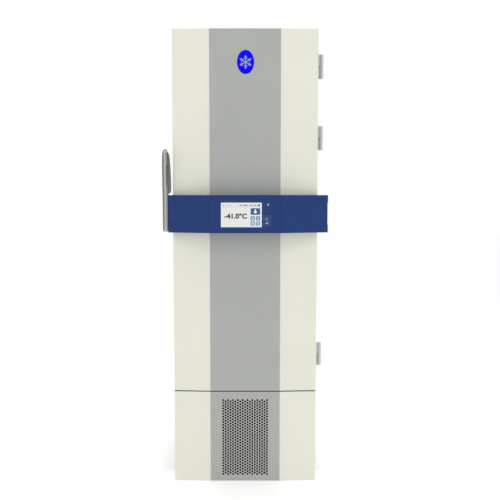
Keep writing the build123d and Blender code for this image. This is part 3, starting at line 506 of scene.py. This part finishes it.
def lettering(name, text, left, top, right, bottom, layer, material):
    """Plain sans-serif figures, fitted between two corners in dots."""
    bpy.ops.object.select_all(action="DESELECT")
    bpy.ops.object.text_add(location=(0, 0, 0), rotation=(0, 0, 0))
    words = bpy.context.object
    words.name = name
    words.data.body = text
    words.data.extrude = 0.01
    words.data.offset = STROKE_GROWTH
    bpy.ops.object.convert(target="MESH")
    words = bpy.context.object
    corners = [v.co for v in words.data.vertices]
    low = Vector([min(c[i] for c in corners) for i in range(3)])
    high = Vector([max(c[i] for c in corners) for i in range(3)])
    wide, tall, thick = (high - low)
    scale = Matrix.Diagonal(((right - left) * DOT / wide, (bottom - top) * DOT / tall,
                             LAYER / thick, 1))
    place = Matrix.Translation((SCREEN_X + left * DOT, SCREEN_Y - LAYER * layer,
                                SCREEN_Z - bottom * DOT))
    words.data.transform(place @ Matrix.Rotation(math.pi / 2, 4, "X") @ scale
                         @ Matrix.Translation(-low))
    return show(words, material)


tile("picture", 0, 0, DOTS_WIDE, DOTS_HIGH, 0, 0, PAPER)
tile("column", 560, 84, DOTS_WIDE, DOTS_HIGH, 1, 0, PALE_BLUE)
tile("bar_rule", 24, 80, 776, 83, 1, 0, TEAL)
lettering("temperature", "-41.0°C", 68, 208, 510, 314, 2, INK)
disc("home_mark", 52, 52, 13, 2, INK)
disc("home_hole", 52, 52, 7, 3, PAPER)
tile("profile_line", 96, 48, 214, 54, 2, 0, NAVY)
for index, width in enumerate((44, 60, 38)):
    tile("clock_%d" % index, 366 + index * 62, 42, 366 + index * 62 + width, 58, 2, 3, NAVY)
for index in range(4):
    disc("status_%d" % index, 578 + index * 46, 50, 13, 2, NAVY, 6 if index % 2 else 24)
disc("status_alarm", 748, 50, 18, 2, INK)
tile("set_button", 581, 108, 768, 238, 2, 16, TEAL)
DROP_DOWN, DROP_R, DROP_CREST, DROP_RISE = 182, 27, 24, 30
drop = disc("set_drop", 674, DROP_DOWN, DROP_R, 3, WHITE)
for vertex in drop.data.vertices:  # the crest of a disc is drawn up to a drop's tip
    if vertex.co.z - (SCREEN_Z - DROP_DOWN * DOT) > DROP_CREST * DOT:
        vertex.co.z += DROP_RISE * DOT
KEY_LEFT, KEY_TOP, KEY_W, KEY_H, KEY_STEP_X, KEY_STEP_Y, KEY_LINE = 581, 267, 80, 78, 104, 101, 15
for row in range(2):
    for column in range(2):
        left, top = KEY_LEFT + column * KEY_STEP_X, KEY_TOP + row * KEY_STEP_Y
        frame_tile("key_%d%d" % (row, column), left, top, left + KEY_W, top + KEY_H, 2, KEY_LINE,
                   TEAL)
        tile("key_mark_%d%d" % (row, column), left + 26, top + 24 + 12 * row, left + 54,
             top + 42 + 6 * column, 4, 4, NAVY)
for line, (start, stop) in enumerate(((70, 300), (70, 236))):
    tile("note_%d" % line, start, 372 + line * 30, stop, 380 + line * 30, 2, 2, PALE_BLUE)
# The power lamp is lit; the sensor and the reader's outline, waves and card are printed marks given a painted
# glow.
disc("power_lamp", 924, 38, 23, 0, LAMP_AND_PRINT_GLOW, base=PRINT_Y)
disc("sensor", 924, 134, 15, 0, GLOW_RED, base=PRINT_Y)
STRIP_LEFT, STRIP_TOP, STRIP_RIGHT, STRIP_BOTTOM, STRIP_LINE = 824, 250, 976, 452, 5
reader_print_glow = lit("reader_outline", (0.10, 0.17, 0.34), 0.8)
strip_face = coated("reader_face", BAND_BLUE, 0.3, grain=2600.0, relief=(0.05, 0.0001))
tile("reader_outline", STRIP_LEFT, STRIP_TOP, STRIP_RIGHT, STRIP_BOTTOM, 0, 26, reader_print_glow, PRINT_Y)
tile("reader_face", STRIP_LEFT + STRIP_LINE, STRIP_TOP + STRIP_LINE, STRIP_RIGHT - STRIP_LINE,
     STRIP_BOTTOM - STRIP_LINE, 1, 22, strip_face, PRINT_Y)
for index in range(3):
    tile("reader_wave_%d" % index, 862 + index * 26, 300 - index * 12, 869 + index * 26,
         344 + index * 12, 2, 3, LAMP_AND_PRINT_GLOW, PRINT_Y)
tile("reader_card", 872, 386, 928, 418, 2, 5, LAMP_AND_PRINT_GLOW, PRINT_Y)

for label, (material, parts) in display_parts.items():
    only(*parts)
    bpy.ops.object.join()
    joined = bpy.context.object
    joined.name = "display_" + label.replace("screen_", "")
    attach(joined, "door", "display_face", material)

module_black = coated("display_bezel", (0.012, 0.013, 0.016), 0.3, grain=3000.0, dust=0.0)
rework(module_black, "lcd_module", 0.4 * MM, name="display_body")


pane = rounded_copy("display_glass", "display_pane", 0.3 * MM)
window = box_between("window_cutter",
                     (SCREEN_X - DOT, pane_low.y - MM, SCREEN_Z - SCREEN_H - DOT),
                     (SCREEN_X + SCREEN_W + DOT, pane_high.y + MM, SCREEN_Z + DOT))
apply_modifier(pane, "BOOLEAN", object=window, operation="DIFFERENCE", solver="EXACT")
bpy.data.objects.remove(window)
for vertex in pane.data.vertices:
    vertex.co.y = max(vertex.co.y, PRINT_Y)
smooth(pane)
pane_print = coated("printed_glass", BAND_BLUE, 0.16, grain=60.0, relief=(0.01, 0.0001),
                    clouding=0.0, spread=0.03, dust=0.0, Specular_IOR_Level=0.4)
attach(pane, "door", "cover_glass", pane_print, "display_glass")


# ---- Lever handle -------------------------------------------------------------------------------
# A die-cast lever in satin silver, slim beside the band and swelling into a rounded grip above it,
# with a dark insert along its inner side and a shaft that carries the latch hook.
lever_low, lever_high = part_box("lever_handle")
LEVER_DEPTH = lever_high.y - lever_low.y
STEM_INSET = 0.6 * MM
STATIONS = (  # share of the height, outer edge inset, front and rear inset as shares of the depth
    (0.00, STEM_INSET + 2.5 * MM, 0.34, 0.24), (0.022, STEM_INSET, 0.22, 0.02),
    (0.20, STEM_INSET, 0.20, 0.00), (0.335, STEM_INSET, 0.20, 0.04), (0.40, 0.4 * MM, 0.17, 0.10),
    (0.62, 0.0, 0.10, 0.16), (0.86, 0.0, 0.01, 0.26), (0.955, 1.0 * MM, 0.02, 0.32),
    (0.988, 4.5 * MM, 0.10, 0.42), (1.0, 9.0 * MM, 0.28, 0.56))


def section_corners(share, outer_inset, front_share, rear_share, right_inset):
    """Corners of the lever's cross-section at a share of its height."""
    z = lever_low.z + share * (lever_high.z - lever_low.z)
    return (Vector((lever_low.x + outer_inset, lever_low.y + front_share * LEVER_DEPTH, z)),
            Vector((lever_high.x - right_inset, lever_high.y - rear_share * LEVER_DEPTH, z)))


LEVER_BEVEL, SLOT_LOW, SLOT_HIGH, SLOT_HALF_W = 5.5 * MM, 0.565, 0.805, 1.5 * MM
SLOT_INSET, SLOT_DEPTH, CUTTER_PLAY = 4.0 * MM, 17 * MM, 5 * MM
low, high = section_corners(*STATIONS[0], 2.0 * MM)
bpy.ops.object.select_all(action="DESELECT")
bpy.ops.mesh.primitive_plane_add(size=1, location=(low + high) / 2)
lever = bpy.context.object
lever.name = "lever_casting"
lever.scale = (high.x - low.x, high.y - low.y, 1)
bpy.ops.object.transform_apply(location=True, rotation=True, scale=True)
only(lever)
bpy.ops.object.mode_set(mode="EDIT")
bpy.ops.mesh.select_all(action="SELECT")
for station in STATIONS[1:]:
    top_inset = max(0.0, station[0] - 0.95) * 100 * MM
    new_low, new_high = section_corners(*station, top_inset)
    bpy.ops.mesh.extrude_region_move(TRANSFORM_OT_translate={
        "value": (new_low + new_high) / 2 - (low + high) / 2})
    bpy.ops.transform.resize(value=((new_high.x - new_low.x) / (high.x - low.x),
                                    (new_high.y - new_low.y) / (high.y - low.y), 1))
    low, high = new_low, new_high
bpy.ops.mesh.select_all(action="SELECT")
bpy.ops.mesh.normals_make_consistent(inside=False)
bpy.ops.object.mode_set(mode="OBJECT")
pick_edges(lever, lambda a, b: abs(a.z - b.z) > 2 * MM)
bpy.ops.mesh.bevel(offset=LEVER_BEVEL, segments=3, profile=0.6, clamp_overlap=True)
bpy.ops.object.mode_set(mode="OBJECT")
apply_modifier(lever, "SUBSURF", levels=2, render_levels=2)
height = lever_high.z - lever_low.z
slot_x = lever_high.x - SLOT_INSET
groove = box_between("groove_cutter", (slot_x - SLOT_HALF_W, lever_low.y - CUTTER_PLAY,
                                       lever_low.z + SLOT_LOW * height),
                     (slot_x + SLOT_HALF_W, lever_low.y + SLOT_DEPTH,
                      lever_low.z + SLOT_HIGH * height))
apply_modifier(lever, "BOOLEAN", object=groove, operation="DIFFERENCE", solver="EXACT")
bpy.data.objects.remove(groove)
smooth(lever, 40)


TARNISH_COLOUR = (0.16, 0.14, 0.12, 1)


def make_metal_group():
    """Satin metal: drawn-out streaks in its colour and gloss, with fine scratches."""
    tree, given, out = new_group("metal_texture", (
        ("Colour", COLOUR, (0.6, 0.6, 0.6, 1)), ("Roughness", FLOAT, 0.35),
        ("Streak X", FLOAT, 1.0), ("Streak Y", FLOAT, 1.0), ("Streak Z", FLOAT, 1.0),
        ("Contrast", FLOAT, 0.12), ("Tarnish", FLOAT, 0.05)), FINISH_OUT)
    coords = tree.nodes.new("ShaderNodeTexCoord").outputs["Object"]
    stretch = tree.nodes.new("ShaderNodeCombineXYZ")
    for axis in "XYZ":
        tree.links.new(given.outputs["Streak " + axis], stretch.inputs[axis])
    scaled = tree.nodes.new("ShaderNodeVectorMath")
    scaled.operation = "MULTIPLY"
    tree.links.new(coords, scaled.inputs[0])
    tree.links.new(stretch.outputs["Vector"], scaled.inputs[1])
    streaks = noise(tree, scaled.outputs["Vector"], 240.0, 4.0, 0.6)
    scratches = noise(tree, scaled.outputs["Vector"], 900.0, 2.0, 0.5)
    darkest = maths(tree, "SUBTRACT", 1.0, given.outputs["Contrast"])
    colour = shaded(tree, given.outputs["Colour"], remap(tree, streaks, 0.3, 0.7, darkest, 1.0))
    bloom = noise(tree, coords, 14.0, 5.0, 0.6)
    bloom = remap(tree, bloom, 0.52, 0.72, 0.0, given.outputs["Tarnish"])
    colour = blend_colour(tree, bloom, colour, TARNISH_COLOUR)
    smoother, rougher = (maths(tree, "MULTIPLY", given.outputs["Roughness"], share)
                         for share in (0.8, 1.2))
    rough = remap(tree, scratches, 0.25, 0.75, smoother, rougher)
    put_out(tree, out, colour, rough, streaks)
    return tree


METAL = make_metal_group()


def metal(name, colour, roughness, streaks=(1.0, 1.0, 1.0), contrast=0.12, tarnish=0.05,
          relief=(0.06, 0.0001), **shader_values):
    """Bare metal; streaks says how finely they run along each axis, so a small share draws them
    out."""
    values = {"Colour": colour, "Roughness": roughness, "Streak X": streaks[0],
              "Streak Y": streaks[1], "Streak Z": streaks[2], "Contrast": contrast,
              "Tarnish": tarnish}
    return finish_material(name, METAL, values, relief, Metallic=1.0, **shader_values)


silver_with_painted_sheen = metal("silver_with_painted_sheen", (0.50, 0.505, 0.50), 0.40, (1.0, 1.0, 0.25), contrast=0.06,
                     tarnish=0.0)
# Painted highlight and shade: a ramp across the casting's width paints a bright stripe down its
# middle and darker flanks at its sides, standing in for reflections on the rounded metal.
tree = silver_with_painted_sheen.node_tree
across = tree.nodes.new("ShaderNodeSeparateXYZ")
tree.links.new(tree.nodes.new("ShaderNodeTexCoord").outputs["Object"], across.inputs["Vector"])
share = remap(tree, across.outputs["X"], lever_low.x, lever_high.x, 0.0, 1.0)
painted_sheen_ramp = tree.nodes.new("ShaderNodeValToRGB")
tree.links.new(share, painted_sheen_ramp.inputs["Fac"])
painted_sheen_ramp.color_ramp.elements[0].color = (0.15, 0.152, 0.15, 1)
painted_sheen_ramp.color_ramp.elements[1].position = 1.0
painted_sheen_ramp.color_ramp.elements[1].color = (0.27, 0.275, 0.27, 1)
for position, tone in ((0.16, 0.16), (0.46, 0.55), (0.62, 0.47), (0.82, 0.29)):
    painted_sheen_ramp.color_ramp.elements.new(position).color = (tone, tone * 1.01, tone, 1)
finish = next(node for node in tree.nodes if node.type == "GROUP")
tree.links.new(painted_sheen_ramp.outputs["Color"], finish.inputs["Colour"])
attach(lever, "lever", "handle_satin", silver_with_painted_sheen, "lever_handle")

insert_grey = coated("grip_insert", (0.17, 0.175, 0.175), 0.5, grain=1800.0, relief=(0.25, 0.0003),
                     clouding=0.05)
rework(insert_grey, "lever_grip_pad", 2.2 * MM, segments=4, name="grip_insert")
stainless_plain = metal("machined_stainless", (0.60, 0.60, 0.59), 0.28, (0.2, 1.0, 1.0))
rework(stainless_plain, "latch_shaft", 0.6 * MM)
rework(stainless_plain, "latch_striker", 0.5 * MM)
dark_acetal = coated("black_acetal", (0.018, 0.018, 0.019), 0.42, grain=1200.0)
rework(dark_acetal, "lever_bearings", 0.3 * MM)


# ---- Lift-off hinges ----------------------------------------------------------------------------
# Three satin steel hinges on the right: the door's knuckle drops on a pin held in the cabinet's
# knuckle, with a bronze washer between them and four socket screws in each leaf.
hinge_steel = metal("hinge_steel", (0.57, 0.575, 0.57), 0.36, (1.0, 1.0, 0.2), contrast=0.10,
                    tarnish=0.02)
rework(hinge_steel, "door_hinge_leaves", 0.7 * MM)
rework(hinge_steel, "cabinet_hinge_leaves", 0.7 * MM)


def make_screw():
    """A low button-head socket screw at the origin, one unit in radius, facing up."""
    bpy.ops.object.select_all(action="DESELECT")
    bpy.ops.mesh.primitive_cylinder_add(vertices=24, radius=1, depth=0.5, location=(0, 0, 0.25))
    head = bpy.context.object
    bpy.ops.object.transform_apply(location=True, rotation=True, scale=True)
    pick_edges(head, lambda a, b: a.z > 0.49 and b.z > 0.49)
    bpy.ops.mesh.bevel(offset=0.34, segments=4, profile=0.5)
    bpy.ops.object.mode_set(mode="OBJECT")
    bpy.ops.mesh.primitive_cylinder_add(vertices=6, radius=0.5, depth=0.6, location=(0, 0, 0.5))
    socket = bpy.context.object
    apply_modifier(head, "BOOLEAN", object=socket, operation="DIFFERENCE", solver="EXACT")
    bpy.data.objects.remove(socket)
    smooth(head, 35)
    return head


screw_master = make_screw()
screw_steel = metal("screw_steel", (0.55, 0.55, 0.55), 0.3)


def screws(name, body, slot, outward, radius, places):
    """Screw heads at the given places, all facing one way, joined as one piece."""
    turn = Vector(outward).to_track_quat("Z", "Y").to_matrix().to_4x4()
    heads = []
    for place in places:
        head = bpy.data.objects.new(name, screw_master.data.copy())
        head.data.transform(Matrix.Translation(place) @ turn @ Matrix.Scale(radius, 4))
        scene.collection.objects.link(head)
        heads.append(head)
    only(*heads)
    bpy.ops.object.join()
    joined = bpy.context.object
    joined.name = name
    return attach(joined, body, slot, screw_steel)


LEAF_T, HINGE_TALL = 4.5 * MM, 106.0 * MM
HINGE_FEET = (1795.5 * MM, 1481.0 * MM, 502.5 * MM)
HINGE_SCREW_R, SCREW_RISE = 4.6 * MM, 16 * MM
leaf_face_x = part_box("side_panel_right")[1].x + LEAF_T
door_leaf_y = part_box("door_hinge_leaves")[0].y
cabinet_leaf_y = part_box("cabinet_hinge_leaves")[1].y
for body, columns in (("door", (door_leaf_y + 10 * MM, door_leaf_y + 42 * MM)),
                      ("cabinet", (cabinet_leaf_y - 40 * MM, cabinet_leaf_y - 10 * MM))):
    spots = [Vector((leaf_face_x, y, foot + rise)) for foot in HINGE_FEET for y in columns
             for rise in (SCREW_RISE, HINGE_TALL - SCREW_RISE)]
    screws("hinge_screws_" + body, body, "hinge_steel", (1, 0, 0), HINGE_SCREW_R, spots)

WASHER_R, WASHER_T = 10.6 * MM, 0.8 * MM
bronze = metal("washer_bronze", (0.55, 0.36, 0.16), 0.35)
washers = []
joints = {joint["name"]: joint for joint in frame["joints"]}
hinge_x, hinge_y, _ = joints["door_swing"]["pos_m"]
for foot in HINGE_FEET:
    bpy.ops.object.select_all(action="DESELECT")
    bpy.ops.mesh.primitive_cylinder_add(vertices=40, radius=WASHER_R, depth=WASHER_T,
                                        location=(hinge_x, hinge_y, foot + HINGE_TALL / 2))
    washer = bpy.context.object
    bpy.ops.object.transform_apply(location=True, rotation=True, scale=True)
    washers.append(washer)
only(*washers)
bpy.ops.object.join()
washer_set = bpy.context.object
washer_set.name = "hinge_washers"
smooth(washer_set)
attach(washer_set, "cabinet", "hinge_steel", bronze)


# ---- Emblem -------------------------------------------------------------------------------------
# A plain snow crystal in saturated blue foil, stuck on the middle panel near the door's top.
emblem_blue = coated("emblem_foil", (0.0, 0.0, 0.86), 0.3, grain=3000.0, relief=(0.03, 0.0001),
                     clouding=0.02, dust=0.0, Specular_IOR_Level=0.08)
rework(emblem_blue, "emblem", 0.15 * MM)


# ---- Door back, gasket and cabinet mouth --------------------------------------------------------
# Behind the steel skin the door has a moulded white liner with a raised plug, and a soft magnetic
# gasket of folded bellows. It closes on a white frame that breaks the cold bridge.
white_moulding = coated("white_moulding", (0.78, 0.79, 0.79), 0.38, grain=1400.0,
                        relief=(0.12, 0.0003), clouding=0.03, dust=0.0)
rework(white_moulding, "door_inner_panel", 2.0 * MM, segments=3)
rework(white_moulding, "breaker_frame", 0.4 * MM)

gasket_grey = coated("gasket_elastomer", (0.30, 0.31, 0.31), 0.62, grain=700.0,
                     relief=(0.15, 0.0003), clouding=0.08, dust=0.05)
gasket_low, gasket_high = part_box("door_gasket")
GASKET_MARGIN, GASKET_BASE, GASKET_WALL = 0.8 * MM, 0.5 * MM, 0.9 * MM
# Each fold is the width of an inset and its rise, in millimetres, from the outer edge inwards.
FOLDS = ((2.0, 0.0), (4.0, 5.2), (6.0, 1.6), (3.0, -2.4), (5.0, 0.0), (3.0, 2.4), (5.0, -1.0),
         (6.0, 0.4), (4.0, -2.6), (4.0, -3.2), (2.0, 0.0))
bpy.ops.object.select_all(action="DESELECT")
bpy.ops.mesh.primitive_plane_add(size=1, rotation=(-math.pi / 2, 0, 0), location=(
    0, gasket_low.y + GASKET_BASE, (gasket_low.z + gasket_high.z) / 2))
gasket = bpy.context.object
gasket.name = "bellows_gasket"
gasket.scale = (gasket_high.x - gasket_low.x - 2 * GASKET_MARGIN,
                gasket_high.z - gasket_low.z - 2 * GASKET_MARGIN, 1)
bpy.ops.object.transform_apply(location=True, rotation=True, scale=True)
only(gasket)
bpy.ops.object.mode_set(mode="EDIT")
bpy.ops.mesh.select_mode(type="FACE")
bpy.ops.mesh.select_all(action="SELECT")
for width, rise in FOLDS:
    bpy.ops.mesh.inset(thickness=width * MM, depth=rise * MM)
bpy.ops.mesh.delete(type="FACE")
bpy.ops.object.mode_set(mode="OBJECT")
apply_modifier(gasket, "SOLIDIFY", thickness=GASKET_WALL, offset=-1.0)
smooth(gasket, 50)
apply_modifier(gasket, "WEIGHTED_NORMAL", weight=80, keep_sharp=True)
attach(gasket, "door", "gasket_rubber", gasket_grey, "door_gasket")


# ---- Inner doors --------------------------------------------------------------------------------
# Two foamed white inner doors, each with a pressed-in panel, a pull at the left and a soft seal.
for level in ("lower", "upper"):
    rework(white_moulding, "inner_door_" + level, 1.2 * MM, segments=3)
    rework(gasket_grey, "inner_seal_" + level, 1.5 * MM)


# ---- Liner, shelves and rails -------------------------------------------------------------------
# Brushed stainless sheet throughout: the welded tank, four uprights with pegs and three shelves
# with turned-down lips.
tank_steel = metal("tank_stainless", (0.60, 0.605, 0.61), 0.33, (1.0, 1.0, 0.03), contrast=0.10,
                   tarnish=0.03)
shelf_steel = metal("shelf_stainless", (0.60, 0.605, 0.61), 0.30, (0.03, 1.0, 1.0), contrast=0.12,
                    tarnish=0.03)
dress(tank_steel, "inner_liner")
rework(shelf_steel, "shelf_rails", 0.5 * MM)
rework(shelf_steel, "shelves", 0.5 * MM)


# ---- Back of the cabinet ------------------------------------------------------------------------
# A galvanised rear sheet with rubber wall bumpers, a flanged sensor port with its bung, and below
# it the slotted cover with the mains inlet and switch.
zinc = metal("zinc_plate", (0.58, 0.60, 0.62), 0.42, (1.0, 1.0, 1.0), contrast=0.25, tarnish=0.06)
rework(zinc, "rear_panel", 0.3 * MM)
dress(zinc, "machine_deck")
bumper_rubber = coated("bumper_rubber", (0.022, 0.022, 0.023), 0.68, grain=600.0,
                       relief=(0.3, 0.0004), clouding=0.2, dust=0.2)
rework(bumper_rubber, "wall_bumpers", 3.0 * MM, segments=4)
port_plastic = coated("port_plastic", (0.68, 0.69, 0.68), 0.45, grain=1200.0)
rework(port_plastic, "access_port", 1.0 * MM, segments=3)
rework(cream_paint, "rear_cover", 0.3 * MM)
rework(dark_acetal, "power_inlet", 0.6 * MM)
rework(dark_acetal, "power_switch", 0.6 * MM)

rear_low, rear_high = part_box("rear_panel")
cover_low, cover_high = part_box("rear_cover")
EDGE, SHEET_SCREW_R, ROW_STEPS = 12 * MM, 3.6 * MM, 6
row_step = (rear_high.z - rear_low.z - 2 * EDGE) / ROW_STEPS
rows = [rear_low.z + EDGE + row_step * i for i in range(ROW_STEPS + 1)]
spots = [Vector((side * (rear_high.x - EDGE), rear_high.y, z)) for side in (-1, 1) for z in rows]
spots += [Vector((x, rear_high.y, z)) for x in (-0.1, 0.1) for z in (rows[0], rows[-1])]
screws("rear_panel_screws", "cabinet", "zinc_steel", (0, 1, 0), SHEET_SCREW_R, spots)
spots = [Vector((x, cover_high.y, z)) for x in (-0.3, -0.1, 0.1, 0.3)
         for z in (cover_low.z + EDGE, cover_high.z - EDGE)]
screws("rear_cover_screws", "cabinet", "zinc_steel", (0, 1, 0), SHEET_SCREW_R, spots)


# ---- Machine compartment ------------------------------------------------------------------------
# Galvanised chassis, two black hermetic compressors on rubber mounts, the finned condenser with
# its fan, the electronics box and brazed copper lines.
rework(zinc, "base_chassis", 0.4 * MM)
rework(zinc, "control_box", 0.5 * MM)
dress(zinc, "band_bracket")
compressor_black = coated("compressor_black", (0.012, 0.012, 0.013), 0.25, grain=300.0,
                          relief=(0.15, 0.0005), clouding=0.2, dust=0.25, Coat_Weight=0.4)
for stage in ("high", "low"):
    rework(compressor_black, "compressor_%s_stage" % stage, 0.8 * MM)
rework(compressor_black, "fan_motor", 0.8 * MM)
rework(bumper_rubber, "compressor_mounts", 1.5 * MM)
fins = metal("fin_aluminium", (0.72, 0.73, 0.74), 0.36, (1.0, 1.0, 0.3))
dress(fins, "condenser_coil")
copper = metal("drawn_copper", (0.72, 0.36, 0.22), 0.3, (1.0, 1.0, 1.0), tarnish=0.3)
dress(copper, "refrigerant_lines", "evaporator_coil")
rework(dark_acetal, "fan_shroud", 0.6 * MM)
rework(dark_acetal, "fan_blades", 0.4 * MM)
mat_black = coated("filter_mat", (0.003, 0.003, 0.0032), 0.95, grain=260.0, relief=(0.9, 0.002),
                   clouding=0.4, dust=0.0, Specular_IOR_Level=0.05)
dress(mat_black, "air_filter")
board = coated("solder_mask", (0.02, 0.15, 0.07), 0.35, grain=500.0, relief=(0.3, 0.0003))
dress(board, "control_board")
foam_yellow = coated("rigid_foam", (0.72, 0.64, 0.40), 0.85, grain=240.0, relief=(0.6, 0.002),
                     clouding=0.12, dust=0.1)
dress(foam_yellow, "cabinet_insulation", "door_insulation")


# ---- Castors and feet ---------------------------------------------------------------------------
# Four grey rubber-tyred castors in zinc-plated forks, the front pair swivelling, and two jacking
# feet that take the load in front.
rework(zinc, "castor_mounts", 0.5 * MM)
tyre_rubber = coated("tyre_rubber", (0.075, 0.075, 0.08), 0.6, grain=500.0, relief=(0.25, 0.0004),
                     clouding=0.15, dust=0.2)
hub_nylon = coated("hub_nylon", (0.42, 0.43, 0.43), 0.45, grain=900.0)
TYRE_INNER_R = 28.0 * MM
for side in ("left", "right"):
    rework(zinc, "front_castor_fork_" + side, 0.5 * MM)
    rework(zinc, "jacking_foot_" + side, 0.5 * MM)
    for end in ("front", "rear"):
        node = "%s_castor_wheel_%s" % (end, side)
        wheel = rework(tyre_rubber, node, 0.6 * MM, name="%s_wheel_%s" % (end, side))
        wheel.data.materials.append(hub_nylon)
        _, axle_y, axle_z = joints["%s_wheel_spin_%s" % (end, side)]["pos_m"]
        for face in wheel.data.polygons:
            out = math.hypot(face.center.y - axle_y, face.center.z - axle_z)
            face.material_index = 1 if out < TYRE_INNER_R else 0

bpy.data.objects.remove(screw_master)
